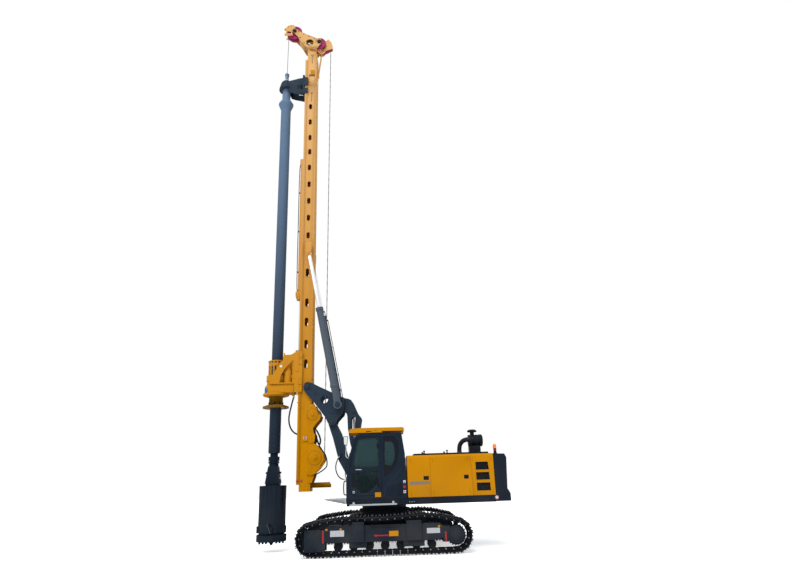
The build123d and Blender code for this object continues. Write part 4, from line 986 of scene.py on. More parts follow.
# ---- upper structure
@dataclass(frozen=True)
class Deck(Assembly):
    """The slewing platform with its step, front platform, tanks and tower."""

    side_y: float = 1.45
    low: float = 1.23
    high: float = 1.41
    skins = (
        (Finish.SLATE, 0.008, "deck boom_tower counterweight tank_box"), (Finish.SLATE, 0.004, "handrails"),
        (Finish.GREY, 0.003, "front_platform"), (Finish.GREY, 0.004, "side_step"))
    steps = ("studs", "edges", "tank_fittings", "tower_pins")

    def studs(self) -> None:
        """Anti-slip studs on the step and lashing eyes on the platform's edge."""
        shape = Shape()
        stud = Shape()
        stud.turned(((0.011, 0), (0.006, 0.004)), (0, 0, 0), sides=8)
        x, y = (a.ravel() for a in np.meshgrid(np.linspace(-0.33, 0.9, 30), (1.515, 1.545, 1.575)))
        shape.repeat(stud, np.stack([x, y, np.full(len(x), 1.28)], axis=1))
        for spot_x in (-0.27, 0.83):
            shape.bolts([(spot_x, 1.475, 1.33)], (0, 0, 1), 0.016, 0.012)
        shape.build("step_studs", Finish.GREY, "upper")

    def edges(self) -> None:
        """Lips and a row of bolts along the platform's sides, and three bright grease points."""
        shape = Shape()
        low, high = (self.side_y, self.side_y + 0.008)
        for z in (self.low + 0.004, self.high - 0.022):
            shape.block((-3.14, 1.02), (low, high), (z, z + 0.018))
        spots = [(x, self.side_y, 1.32) for x in np.arange(-3.0, 0.95, 0.42)]
        shape.bolts(spots, (0, 1, 0), 0.016, 0.012)
        shape.both().build("deck_edge", Finish.SLATE, "upper", bevel=0.002)
        spots = [(x, self.side_y + 0.008, 1.3) for x in (-0.85, -0.79, -0.73)]
        Shape().bolts(spots, (0, 1, 0), 0.012, 0.008, 1.0).build("deck_grease_points", Finish.BARE, "upper")

    def tank_fittings(self) -> None:
        """Latches, hinges and filler cap on the right-hand tanks, and a lifting eye."""
        shape = Shape()
        for x in (-0.43, -0.02, 0.4):
            shape.block((x - 0.05, x + 0.05), (-1.475, -1.45), (1.86, 1.9))
            for z in (1.56, 2.08):
                shape.block((x - 0.19, x - 0.13), (-1.462, -1.45), (z, z + 0.07))
        shape.turned(((0.06, 0), (0.068, 0.01), (0.068, 0.035), (0.05, 0.048)), (0.35, -0.8, 2.36), sides=20)
        lifting_eye = ((-3.36, 2.515), (-3.36, 2.57), (-3.33, 2.6), (-3.3, 2.57), (-3.3, 2.515))
        shape.swept(smooth_path([(x, -0.9, z) for x, z in lifting_eye]), 0.012)
        shape.build("tank_latches", Finish.BLACK, "upper", bevel=0.003)

    def tower_pins(self) -> None:
        """Round caps with bolts on the tower's pins."""
        shape = Shape()
        for x, z in ((0.67, 2.26), (0.86, 1.74)):
            for side in (-1, 1):
                shape.turned(boss(0.095, 0.012, 0.085, 0.018), (x, side * 0.36, z), (0, side, 0), 28)
                shape.bolts(circle((x, side * 0.376, z), 0.062, 6, (0, 1, 0)), (0, side, 0), 0.011, 0.009)
        shape.build("tower_pin_caps", Finish.LINK, "upper")


@dataclass(frozen=True)
class Cab(Assembly):
    """The cab: shell, door, glass, gaskets, plates, wiper, mirror and what is inside."""

    upper_pane: tuple = ((0.708, 3.029), (0.568, 3.062), (0.167, 3.062), (0.114, 2.994), (0.114, 2.294),
        (0.183, 2.247), (0.75, 2.232), (0.843, 2.317), (0.816, 2.564))
    lower_pane: tuple = ((0.905, 2.122), (0.58, 2.106), (0.476, 2.158), (0.116, 2.163), (0.115, 1.822),
        (0.417, 1.56), (0.637, 1.56), (0.771, 1.713), (0.907, 1.734))
    quarter: tuple = ((-0.025, 3.092), (-0.322, 3.083), (-0.44, 2.961), (-0.466, 2.658), (-0.405, 2.361),
        (-0.278, 2.151), (-0.051, 1.971), (-0.022, 2.208))
    quarter_inner: tuple = ((-0.066, 2.954), (-0.27, 2.948), (-0.338, 2.819), (-0.34, 2.475), (-0.251, 2.273),
        (-0.051, 2.302))
    skins = (
        (Finish.CAB, 0.01, "cab_shell"), (Finish.CAB, 0.006, "cab_door"), (Finish.AMBER, 0.01, "cab_visor"),
        (Finish.GREY, 0.004, "cab_mirror"), (Finish.GLASS, 0, "cab_glass cab_door_glass"))
    steps = ("gaskets", "door_details", "shell_details", "interior", "seat")

    def gasket(self, shape: Shape, outline: object, low: float, high: float, width: float) -> None:
        """A rubber ring just inside a window's edge."""
        loop = rounded(outline, 0.03)
        shape.band(loop, moved(loop, -width), low, high)

    def gaskets(self) -> None:
        """Rubber round every pane."""
        door = Shape()
        for pane in (self.upper_pane, self.lower_pane):
            self.gasket(door, pane, 1.412, 1.4465, 0.016)
        door.build("door_gaskets", Finish.RUBBER, "door")
        outer = even(rounded(self.quarter, 0.03), 64)
        Shape().band(outer, even(rounded(self.quarter_inner, 0.05), 64), 1.4305,
            1.436).build("quarter_window_border", Finish.BLACK, "upper")
        right = ((0.78, 3.01), (-0.44, 3.05), (-0.5, 2.55), (-0.5, 2.08), (0.9, 2.08), (0.88, 2.48))
        loop = rounded(right, 0.04)
        Shape().band(loop, moved(loop, -0.018), 0.503, 0.535).build("right_window_gasket", Finish.RUBBER,
            "upper")

    def door_details(self) -> None:
        """The lower pane's black part, the pressed line in a lighter slate as a painted highlight, handle,
        lock and hinge covers.
        """
        Shape().prism(((0.903, 2.118), (0.8, 2.112), (0.79, 1.722), (0.905, 1.738)), 1.4302,
            1.4345).build("lower_pane_border", Finish.BLACK, "door")
        # the pressed line's bead gets the lighter link slate as a painted highlight along the door
        line = smooth_path(((0.921, 1.451, 1.717), (0.77, 1.451, 1.675), (0.632, 1.451, 1.53),
            (0.446, 1.451, 1.53), (0.12, 1.451, 1.78)), 5)
        Shape().swept(line, 0.006, 6, flat=0.6).build("door_highlight_bead", Finish.LINK, "door")
        grip = smooth_path(((0.6, 1.45, 2.19), (0.605, 1.492, 2.195), (0.7, 1.495, 2.198),
            (0.765, 1.492, 2.2), (0.77, 1.45, 2.2)), 5)
        (Shape().swept(grip, 0.011, 8)
         .turned(boss(0.034, 0.008, 0.026, 0.014), (0.83, 1.45, 1.6), (0, 1, 0), 24)
         .build("door_handle_and_lock", Finish.GREY, "door"))
        dark = Shape()
        dark.turned(((0.016, 0), (0.016, 0.004)), (0.83, 1.464, 1.6), (0, 1, 0), 16)
        for z in (1.7, 2.78):
            dark.block((0.095, 0.16), (1.45, 1.462), (z + 0.01, z + 0.11))
            dark.bolts([(0.128, 1.462, z + 0.035), (0.128, 1.462, z + 0.085)], (0, 1, 0), 0.01, 0.007)
        dark.build("door_lock_and_hinges", Finish.BLACK, "door", bevel=0.002)

    def shell_details(self) -> None:
        """Pressed lines in a lighter slate as painted highlights, blank plates, visor slots as black plates
        of painted shade, wiper and mirror glass.
        """
        # the pressed lines' beads get the lighter link slate as painted highlights
        highlight_beads = Shape()
        for route in (((-0.533, 2.219), (-0.409, 2.043), (-0.048, 1.72), (-0.019, 1.457)),
                ((-0.52, 1.93), (-0.405, 1.909), (-0.115, 1.641), (-0.1, 1.433))):
            highlight_beads.swept(smooth_path([(x, 1.451, z) for x, z in route], 5), 0.006, 6, flat=0.6)
        highlight_beads.build("shell_highlight_beads", Finish.LINK, "upper")
        for name, finish, x, z in (
                ("yellow", Finish.AMBER, (0.065, 0.235), (1.455, 1.575)),
                ("white_upper", Finish.WHITE, (-0.632, -0.565), (1.8, 1.872)),
                ("blue", Finish.BLUE, (-0.622, -0.575), (1.806, 1.84)),
                ("red", Finish.SIGNAL_RED, (-0.632, -0.565), (1.667, 1.739)),
                ("white_lower", Finish.WHITE, (-0.632, -0.565), (1.535, 1.607)),
                ("red_spot", Finish.SIGNAL_RED, (-0.618, -0.579), (1.55, 1.592))):
            rise = 0.0035 if name in ("blue", "red_spot") else 0.0025
            Shape().prism(rounded(oblong(x, z), 0.008), 1.4495, 1.45 + rise).build(f"blank_plate_{name}",
                finish, "upper")
        for name, finish, radius, rise in (("white", Finish.WHITE, 0.048, 0.002),
                ("red", Finish.SIGNAL_RED, 0.04, 0.003), ("centre", Finish.WHITE, 0.027, 0.004)):
            Shape().turned(((radius, 0), (radius, rise)), (-3.17, 1.45, 1.345), (0, 1, 0),
                28).build(f"rear_blank_disc_{name}", finish, "upper")
        slots = Shape()
        # painted shade: thin black plates where the visor's slot openings show dark
        for outline in (((-0.6, 3.205), (-0.02, 3.205), (0.03, 3.245), (-0.6, 3.238)),
                        ((0.3, 3.232), (0.47, 3.222), (0.455, 3.248), (0.33, 3.253)),
                        oblong((0.16, 0.22), (3.262, 3.272))):
            slots.prism(outline, 1.4695, 1.4715)
        slots.build("visor_slot_shade", Finish.BLACK, "upper")
        wiper = Shape()
        wiper.swept(smooth_path(((1.048, 0.8, 1.99), (1.052, 0.86, 2.1), (1.012, 1.02, 2.42)), 5), 0.009, 6)
        wiper.swept([(1.029, 1.06, 2.19), (1.008, 1.04, 2.42), (0.962, 1.01, 2.68)], 0.01, 6, flat=0.5)
        wiper.turned(((0.03, 0), (0.024, 0.022)), (1.03, 0.8, 1.98), (1, 0, 0.1), 16)
        wiper.build("wiper", Finish.BLACK, "upper")
        (Shape().prism(((1.118, 3.124), (1.01, 3.12), (1.034, 2.892), (1.106, 2.915)), 1.2655, 1.2675)
         .prism(((1.118, 3.124), (1.01, 3.12), (1.034, 2.892), (1.106, 2.915)), 1.2325, 1.2345)
         .build("mirror_faces", Finish.MIRROR, "upper"))
        loop = np.array(((1.128, 3.136), (1.0, 3.132), (1.027, 2.88), (1.114, 2.905)))
        Shape().band(moved(loop, 0.004), moved(loop, -0.007), 1.2325,
            1.2675).build("mirror_rim", Finish.BLACK, "upper")
        Shape().swept(smooth_path(((0.985, 1.4, 2.5), (1.03, 1.415, 2.46), (1.062, 1.42, 2.2),
            (1.072, 1.42, 2.02), (1.035, 1.4, 1.97)), 5), 0.011,
            8).build("pillar_grip", Finish.BLACK, "upper")

    def interior(self) -> None:
        """Consoles, display, travel levers, pedals, joysticks and floor mat."""
        shape = Shape()
        shape.block((-0.5, 0.98), (0.58, 1.38), (1.461, 1.474))
        shape.prism(((0.86, 1.475), (0.98, 1.475), (0.98, 1.93), (0.93, 1.95), (0.83, 1.9)), 0.6, 1.36)
        shape.block((-0.56, -0.49), (0.6, 1.36), (1.475, 2.1))
        shape.block((0.62, 0.655), (0.575, 0.8), (2.13, 2.32))
        shape.swept([(0.8, 0.6, 1.93), (0.7, 0.66, 2.08), (0.645, 0.69, 2.2)], 0.016, 8)
        shape.build("cab_consoles", Finish.RUBBER, "upper", bevel=0.008)
        levers = Shape()
        for y in (0.9, 1.03):
            levers.swept(smooth_path(((0.8, y, 1.474), (0.79, y, 1.72), (0.7, y, 1.9), (0.68, y, 2.02)), 5),
                0.01, 8)
            levers.turned(((0.014, 0), (0.02, 0.01), (0.018, 0.09), (0.01, 0.1)), (0.68, y, 2.01), sides=12)
            levers.prism(((0.74, 1.475), (0.87, 1.54), (0.865, 1.55), (0.735, 1.487)), y - 0.05, y + 0.05)
        for y in (0.665, 1.275):
            levers.turned(((0.045, 0), (0.028, 0.035), (0.022, 0.06)), (0.15, y, 1.96), sides=16)
            levers.turned(((0.02, 0), (0.026, 0.03), (0.024, 0.085), (0.012, 0.1)), (0.15, y, 2.05), sides=16)
        levers.build("cab_levers", Finish.BLACK, "upper")
        Shape().block((0.6175, 0.6205), (0.59, 0.785), (2.145, 2.305)).build("display_glass", Finish.MIRROR,
            "upper")

    def seat(self) -> None:
        """The seat's hard parts, which stand for its solid, and its five cushions."""
        shape = Shape()
        shape.block((-0.3, 0.13), (0.78, 1.16), (1.474, 1.66))
        shape.block((-0.32, 0.19), (0.73, 1.21), (1.66, 1.705))
        shape.prism(((-0.3, 1.7), (-0.375, 1.7), (-0.47, 2.42), (-0.43, 2.42)), 0.76, 1.18)
        shape.block((-0.43, -0.4), (0.94, 1.0), (2.4, 2.46))
        for y in (0.63, 1.24):
            shape.block((-0.16, 0.06), (y + 0.01, y + 0.06), (1.474, 1.875))
            shape.block((-0.235, 0.195), (y + 0.005, y + 0.065), (1.865, 1.905))
            shape.turned(((0.016, 0), (0.016, 0.16)), (0.15, y + 0.035, 1.95), sides=12)
        for y in (0.7, 1.21):
            shape.swept(smooth_path(((-0.36, y, 1.76), (-0.36, y, 1.66), (-0.2, y, 1.64), (0.1, y, 1.64)), 4),
                0.012)
        shape.build("seat_frame", Finish.RUBBER, "upper", "cab_seat", bevel=0.006)
        arm = oblong((-0.225, 0.185), (1.906, 1.945))
        cushions = (
            ("seat_cushion", ((-0.315, 1.706), (0.195, 1.706), (0.2, 1.8), (-0.3, 1.79)), 0.745, 1.195, 0.03),
            ("back_cushion", ((-0.265, 1.86), (-0.345, 1.86), (-0.435, 2.4), (-0.365, 2.405)), 0.75, 1.19,
            0.028), ("head_cushion", ((-0.375, 2.455), (-0.445, 2.455), (-0.462, 2.625), (-0.395, 2.625)),
            0.87, 1.07, 0.014), ("left_arm_pad", arm, 1.25, 1.3, 0.008),
            ("right_arm_pad", arm, 0.64, 0.69, 0.008))
        for name, outline, low, high, cap in cushions:
            Cushion(name, outline, low, high, cap).build()


@dataclass(frozen=True)
class Cushion:
    """A stuffed seat cushion, blown up from a flat block by a cloth simulation."""

    name: str
    outline: tuple
    low: float
    high: float
    cap: float
    pressure: float = 4.0

    def build(self) -> None:
        """Make the pad, swell it, cap how far it moved and add its piping."""
        shape = Shape()
        shape.prism(rounded(self.outline, 0.025, 3), self.low, self.high)
        pad = shape.build(self.name, Finish.CLOTH, "upper")
        self.swell(pad)
        smooth = pad.modifiers.new("soft_surface", "SUBSURF")
        smooth.levels = smooth.render_levels = 1

    def swell(self, pad: bpy.types.Object) -> None:
        """Remesh, run the cloth under pressure and keep its last shape."""
        small = self.high - self.low < 0.1
        remesh = pad.modifiers.new("even_mesh", "REMESH")
        remesh.mode = "VOXEL"
        remesh.voxel_size = 0.005 if small else 0.006
        remesh.use_smooth_shade = True
        self.keep(pad)
        rest = np.empty(len(pad.data.vertices) * 3)
        pad.data.vertices.foreach_get("co", rest)
        cloth = pad.modifiers.new("stuffing", "CLOTH")
        cloth.settings.use_pressure = True
        cloth.settings.uniform_pressure_force = self.pressure
        cloth.settings.effector_weights.gravity = 0.0
        cloth.collision_settings.use_self_collision = False
        cloth.point_cache.frame_start, cloth.point_cache.frame_end = 1, 20
        for number in range(1, 21):
            bpy.context.scene.frame_set(number)
        self.keep(pad)
        bpy.context.scene.frame_set(1)
        swollen = np.empty_like(rest)
        pad.data.vertices.foreach_get("co", swollen)
        move = (swollen - rest).reshape(-1, 3)
        length = np.linalg.norm(move, axis=1, keepdims=True)
        move *= np.minimum(1.0, self.cap / np.maximum(length, 1e-9))
        pad.data.vertices.foreach_set("co", (rest + move.ravel()).astype(np.float32))
        pad.data.update()

    def keep(self, pad: bpy.types.Object) -> None:
        """Apply the pad's modifiers to its mesh."""
        graph = bpy.context.evaluated_depsgraph_get()
        mesh = bpy.data.meshes.new_from_object(pad.evaluated_get(graph))
        mesh.name = self.name + "_pad"
        if not mesh.materials:
            mesh.materials.append(Finish.CLOTH.value.material())
        pad.modifiers.clear()
        pad.data = mesh
        mesh.shade_smooth()


@dataclass(frozen=True)
class Hood(Assembly):
    """The engine hood with its doors' handles, stripe, grilles, top deck and engine."""

    side_y: float = 1.45
    skins = (
        (Finish.AMBER, 0.008, "hood"), (Finish.BLACK, 0.01, "hood_deck"), (Finish.BLACK, 0, "hood_grilles"),
        (Finish.CAST, 0.012, "engine_block"), (Finish.BLACK, 0.003, "exhaust_pipe"))
    steps = ("handles", "stripe", "grille_frames", "roof")

    def handles(self) -> None:
        """A black bar across each pocket, with its backing plate."""
        shape = Shape()
        for low, high in ((-1.292, -1.142), (-2.422, -2.288)):
            back = (1.4285, 1.434)
            shape.block((low + 0.004, high - 0.004), back, (1.866, 1.964))
            grip = (1.434, 1.449)
            shape.block((low + 0.025, high - 0.025), grip, (1.9, 1.93))
        shape.both().build("hood_handles", Finish.BLACK, "upper", bevel=0.003)
        hinges = Shape()
        for x in (-0.78, -1.42, -2.43, -2.56, -3.08):
            for z in (1.52, 2.4):
                hinges.turned(((0.012, 0), (0.012, 0.09)), (x, 1.452, z - 0.045), sides=10)
        hinges.both().build("hood_hinges", Finish.AMBER, "upper")

    def stripe(self) -> None:
        """The grey stripe on the front door of each side."""
        for side in (-1, 1):
            Shape().prism(((-1.325, 1.75), (-0.74, 1.75), (-0.76, 1.83), (-1.325, 1.83)),
                *span(side, self.side_y, self.side_y + 0.0025)).build("hood_stripe_left" if side > 0
                else "hood_stripe_right", Finish.STRIPE, "upper")

    def grille_frames(self) -> None:
        """A lip round each grille and fine slats in it."""
        openings = (
            ((-3.01, 2.09), (-2.63, 2.09), (-2.63, 2.31), (-2.99, 2.31)),
            ((-3.02, 1.82), (-2.63, 1.82), (-2.63, 2.03), (-3.005, 2.03)),
            ((-3.025, 1.53), (-2.63, 1.53), (-2.63, 1.75), (-3.015, 1.75)))
        lips, slats = Shape(), Shape()
        for opening in openings:
            loop = np.array(opening)
            lips.band(moved(loop, 0.01), moved(loop, -0.004), 1.44, 1.456)
            for z in np.arange(opening[0][1] + 0.012, opening[2][1] - 0.01, 0.02):
                slats.swept([(-3.012, 1.424, z), (-2.634, 1.424, z)], 0.007, 4, flat=0.5)
        lips.both().build("grille_lips", Finish.AMBER, "upper")
        slats.both().build("grille_slats", Finish.BLACK, "upper")

    def roof(self) -> None:
        """Lifting knobs, hatch seams and anti-slip strips on the hood's roof."""
        shape = Shape()
        for x, y in ((-1.24, 0.55), (-1.93, 0.55), (-1.24, -0.45), (-1.93, -0.45)):
            shape.turned(((0.034, 0), (0.034, 0.02), (0.014, 0.03), (0.014, 0.055), (0.03, 0.065),
                (0.03, 0.09), (0.018, 0.1)), (x, y, 2.6), sides=16)
        for x in np.arange(-3.0, -1.0, 0.16):
            shape.block((x, x + 0.05), (-0.62, 0.3), (2.6, 2.604))
        shape.build("hood_roof_fittings", Finish.RUBBER, "upper", bevel=0.002)


@dataclass(frozen=True)
class AirCleaner:
    """The air cleaner lying on the hood: drum, bands, clips and pleated hose."""

    y: float = 0.6
    z: float = 2.945

    def build(self) -> None:
        """Dress the cleaner and add its fittings."""
        clad("air_cleaner", Finish.BLACK, 0.006)
        bands = Shape()
        for x in (-2.66, -2.84):
            bands.collar((0.167, 0.173), (0, 0.03), (x, self.y, self.z), (1, 0, 0), sides=40)
            bands.block((x, x + 0.03), (self.y - 0.175, self.y + 0.175), (2.79, 2.812))
        for turn in np.radians((25, 145, 265)):
            middle = (-2.93, self.y + 0.178 * math.cos(turn), self.z + 0.178 * math.sin(turn))
            bands.swept(np.array([middle, (-2.86, *middle[1:])]), 0.012, 6, flat=0.5)
        bands.turned(((0.06, 0), (0.05, 0.012)), (-3.005, self.y, self.z), (-1, 0, 0), 24)
        bands.build("air_cleaner_bands", Finish.FRAME, "upper")
        route = ((-2.59, self.y, 2.985), (-2.46, self.y, 2.975), (-2.345, self.y, 2.88),
            (-2.296, self.y, 2.75), (-2.296, self.y, 2.602))
        line = smooth_path(route, 16)
        pleats = 0.0665 + 0.004 * np.cos(np.arange(len(line)) * math.pi * 0.66)
        Shape().swept(line, pleats, 20).build("air_cleaner_hose", Finish.RUBBER, "upper")
        (Shape().collar((0.066, 0.073), (0, 0.018), (-2.585, self.y, 2.985), (1, 0, 0), sides=28)
         .collar((0.066, 0.073), (0, 0.018), (-2.296, self.y, 2.615), (0, 0, 1), sides=28)
         .build("air_cleaner_hose_clips", Finish.CAST, "upper"))


@dataclass(frozen=True)
class Beacon:
    """The rotating beacon: a dark base under a ribbed orange lens."""

    x: float = -3.315
    y: float = 0.9

    def build(self) -> None:
        """Make the base and the lens."""
        Shape().turned(((0.058, 2.526), (0.058, 2.556), (0.044, 2.572), (0.044, 2.69)), (self.x, self.y, 0),
            sides=32).build("beacon_base", Finish.BLACK, "upper", bevel=0.002)
        Shape().collar((0.044, 0.046), (2.62, 2.655), (self.x, self.y, 0), sides=32).build("beacon_band",
            Finish.SIGNAL_RED, "upper")
        rise = np.linspace(0, 1, 12)
        profile = [(0.052, 2.69), (0.052, 2.7), *zip(0.049 * (1 - rise ** 5) ** 0.5 + 0.003,
            2.702 + 0.116 * rise)]
        Shape().turned(tuple(profile), (self.x, self.y, 0), sides=40).build("beacon_lens", Finish.ORANGE,
            "upper", "beacon")


# ---- boom and rams
@dataclass(frozen=True)
class Ram:
    """One hydraulic ram: gland, port blocks, bolts and a pipe along its barrel."""

    name: str
    foot: tuple
    eye: tuple
    y: float
    radius: float
    barrel: float
    body: str
    lip: float = 0.016

    def build(self) -> None:
        """Add the ram's fittings to its barrel; a ram with a thin lip has no room for a pipe."""
        start = np.array((self.foot[0], self.y, self.foot[1]))
        end = np.array((self.eye[0], self.y, self.eye[1]))
        run = (end - start) / np.linalg.norm(end - start)
        side = np.array((-run[2], 0, run[0]))
        shape = Shape()
        gland = start + run * (self.barrel - 0.1)
        shape.turned(((self.radius * 0.6, 0), (self.radius + self.lip, 0), (self.radius + self.lip, 0.075),
            (self.radius * 0.6, 0.092)), gland, tuple(run), 40, True)
        ring = [gland + run * 0.092 + (self.radius * 0.86)
            * (math.cos(t) * side + math.sin(t) * np.array((0, 1, 0))) for t in angles(10)]
        shape.bolts(ring, tuple(run), 0.01, 0.009)
        for reach in (0.24, self.barrel - 0.16) if self.lip > 0.01 else ():
            shape.turned(boss(0.03, 0.05, 0.022, 0.056), start + run * reach + side * (self.radius - 0.012),
                tuple(side), 16)
        shape.build(f"{self.name}_gland", Finish.RAM, self.body)
        if self.lip > 0.01:
            self.pipe(start, run, side)

    def pipe(self, start: np.ndarray, run: np.ndarray, side: np.ndarray) -> None:
        """A steel pipe with clamps along the barrel.

        Args:
            start: The foot of the ram.
            run: The direction of the rod.
            side: The direction in which the pipe stands off.
        """
        pipe = Shape()
        lift = self.radius + 0.036
        route = [start + run * a + side * b for a, b in ((0.24, self.radius + 0.01), (0.24, lift),
            (0.34, lift), (self.barrel * 0.5, lift), (self.barrel - 0.26, lift), (self.barrel - 0.16, lift),
            (self.barrel - 0.16, self.radius))]
        pipe.swept(smooth_path(route, 5), 0.011, 10)
        for share in (0.35, 0.65):
            middle = start + run * self.barrel * share + side * (self.radius + 0.012)
            pipe.turned(((0.024, 0), (0.024, 0.034)), middle, tuple(side), 4)
        pipe.build(f"{self.name}_pipe", Finish.FRAME, self.body)


@dataclass(frozen=True)
class Linkage(Assembly):
    """The boom, its links and rams, with the caps of their pins."""

    skins = (
        (Finish.LINK, 0.008, "boom front_link mast_link"),
        (Finish.RAM, 0.008, "luff_ram_barrel mast_ram_barrels"),
        (Finish.CHROME, 0.002, "luff_ram_rod mast_ram_rods crowd_ram_rod"))
    steps = ("rams", "caps", "ribs")

    def rams(self) -> None:
        """The fittings of the three rams."""
        Ram("luff_ram", (0.8, 1.56), (0.89, 3.95), 0, 0.088, 1.56, "luff_barrel", 0.004).build()
        for name, y in (("left_mast_ram", 0.55), ("right_mast_ram", -0.55)):
            Ram(name, (1.36, 4.14), (2.33, 9.2), y, 0.108, 3.18, "mast_barrels").build()

    def caps(self) -> None:
        """Keeper plates with bolts on the ends of the pins."""
        by_body = {"mast_link": (((1.36, 4.14), 0.665, 0.085), ((1.55, 3.62), 0.416, 0.075),
            ((2.33, 4.75), 0.44, 0.085)), "mast": (((2.33, 9.2), 0.65, 0.075),),
            "boom": (((0.89, 3.95), 0.29, 0.065),), }
        for body, caps in by_body.items():
            shape = Shape()
            for (x, z), y, radius in caps:
                for side in (-1, 1):
                    shape.turned(boss(radius, 0.01, radius - 0.01, 0.016), (x, side * y, z), (0, side, 0), 28)
                    shape.bolts(circle((x, side * (y + 0.015), z), radius * 0.6, 4, (0, 1, 0), 0.4),
                        (0, side, 0), 0.01, 0.008)
            shape.build(f"{body}_pin_caps", Finish.MAST if body == "mast" else Finish.LINK, body)

    def ribs(self) -> None:
        """The rib and the small pin on the mast link, and stiffening seams on the boom and the front link."""
        shape = Shape()
        shape.prism(((1.23, 3.865), (1.66, 3.905), (1.66, 3.93), (1.225, 3.89)), 0.415, 0.424)
        shape.turned(boss(0.036, 0.014, 0.028, 0.02), (2.077, 0.415, 4.524), (0, 1, 0), 20)
        shape.collar((0.12, 0.142), (-0.003, 0.01), (1.785, 0.415, 4.335), (0, 1, 0), sides=40)
        shape.both().build("mast_link_ribs", Finish.LINK, "mast_link", bevel=0.002)
        boom = Shape()
        window = rounded(((0.83, 3.78), (0.955, 3.78), (0.956, 3.43), (0.88, 3.0), (0.79, 2.66), (0.75, 2.66),
            (0.78, 3.0), (0.846, 3.43)), 0.03, 3)
        boom.band(moved(window, 0.018), moved(window, 0.002), 0.289, 0.296)
        seam = ((0.66, 2.4), (0.7, 2.9), (0.775, 3.45), (0.74, 3.72), (0.84, 3.98), (0.95, 4.22))
        boom.swept(smooth_path([(x, 0.291, z) for x, z in seam], 4), 0.008, 6)
        boom.both().build("boom_seams", Finish.LINK, "boom")
        route = ((1.02, 0.291, 2.05), (1.2, 0.291, 2.52), (1.33, 0.291, 2.95), (1.47, 0.291, 3.32))
        (Shape().swept(smooth_path(route, 4), 0.008, 6)
         .block((1.262, 1.348), (0.289, 0.3), (2.63, 2.7))
         .both().build("front_link_seams", Finish.LINK, "front_link"))


# ---- mast
@dataclass(frozen=True)
class Mast(Assembly):
    """The mast column: rails, slot rims, saddles, marks and lamps."""

    upper_slots: tuple = (15.12, 14.46, 13.8, 13.21, 12.57, 11.9, 11.25, 10.6, 9.94)
    lower_slots: tuple = (8.58, 7.53, 6.87, 6.13, 5.49)
    skins = ((Finish.MAST, 0, "mast_column"), (Finish.MAST, 0.006, "ram_brackets crowd_ram_barrel"))
    steps = ("rails", "rims", "saddles", "marks", "foot")

    def rails(self) -> None:
        """Bright rubbed faces on the rails and weld seams at their roots."""
        Shape().block((2.6195, 2.6212), (0.238, 0.322), (1.9, 17.15),
            0.4).both().build("rail_faces", Finish.BARE, "mast")
        seams = Shape()
        for x, y in ((2.542, 0.228), (2.538, 0.302), (2.204, 0.296)):
            seams.swept([(x, y, 1.86), (x, y, 17.18)], 0.007, 6)
        seams.both()
        for z in (5.02, 9.72, 15.86):
            loop = [(x, y, z) for x, y in oblong((2.198, 2.54), (-0.302, 0.302))]
            seams.swept(np.array(loop), 0.006, 6, True)
        seams.build("mast_weld_seams", Finish.MAST, "mast")

    def rims(self) -> None:
        """A raised rim round every slot, on both sides."""
        shape = Shape()
        for heights, length in ((self.upper_slots, 0.23), (self.lower_slots, 0.29)):
            turn = angles(32)
            slot = np.stack([0.055 * np.cos(turn), 0.055 * np.sin(turn) + np.sign(np.sin(turn))
                * (length / 2 - 0.055)], axis=1)
            for z in heights:
                loop = slot + (2.4, z)
                for side in (-1, 1):
                    shape.band(moved(loop, 0.016), moved(loop, 0.001), *span(side, 0.299, 0.307))
        shape.build("slot_rims", Finish.MAST, "mast")

    def saddles(self) -> None:
        """A painted shadow band and the bolts on the saddles, and the bright box above each."""
        shape, box, heads = Shape(), Shape(), Shape()
        # painted shadow: an umber band for the shade along the saddle's upper edge
        shape.block((2.25, 2.468), (0.3445, 0.348), (16.43, 16.515))
        box.block((2.263, 2.417), (0.3315, 0.334), (16.535, 16.727))
        spots = [(x, 0.345, z) for x in (2.24, 2.44) for z in (16.08, 16.22, 16.36)]
        heads.bolts(spots, (0, 1, 0), 0.014, 0.011)
        shape.both().build("saddle_shadow_bands", Finish.UMBER, "mast", bevel=0.001)
        box.both().build("saddle_boxes", Finish.AMBER, "mast", bevel=0.001)
        heads.both().build("saddle_bolts", Finish.MAST, "mast")

    def marks(self) -> None:
        """Flat umber marks, each a bar with a ring at its end."""
        shape = Shape()
        # flat umber bars and rings where the mast shows dark marks
        for low, high in ((15.33, 15.75), (17.05, 17.45)):
            shape.block((2.355, 2.372), (0.3, 0.3012), (low, high - 0.06))
            shape.collar((0.022, 0.042), (0, 0.0012), (2.3635, 0.3, high - 0.03), (0, 1, 0), sides=20)
        shape.both().build("umber_bar_marks", Finish.UMBER, "mast")

    def foot(self) -> None:
        """Red lamps and bolts on the mast's foot."""
        lens, base = Shape(), Shape()
        for x, y in ((2.59, 0.3295), (2.47, 0.2995)):
            base.turned(boss(0.034, 0.008, 0.03, 0.011), (x, y, 1.95), (0, 1, 0), 24)
            lens.turned(((0.027, 0), (0.027, 0.01), (0.018, 0.017), (0.004, 0.019)), (x, y + 0.01, 1.95),
                (0, 1, 0), 24)
        base.both().build("foot_lamp_bases", Finish.BLACK, "mast")
        lens.both().build("foot_lamp_lenses", Finish.RED_LENS, "mast")
        shape = Shape()
        shape.bolts([(x, 0.3, z) for x in (2.26, 2.37, 2.48) for z in (1.7, 1.8)], (0, 1, 0), 0.013, 0.01)
        shape.both()
        shape.bolts([(1.66, y, 1.89) for y in (-0.03, 0.03)], (0, 0, 1), 0.012, 0.01)
        shape.build("foot_bolts", Finish.MAST, "mast")


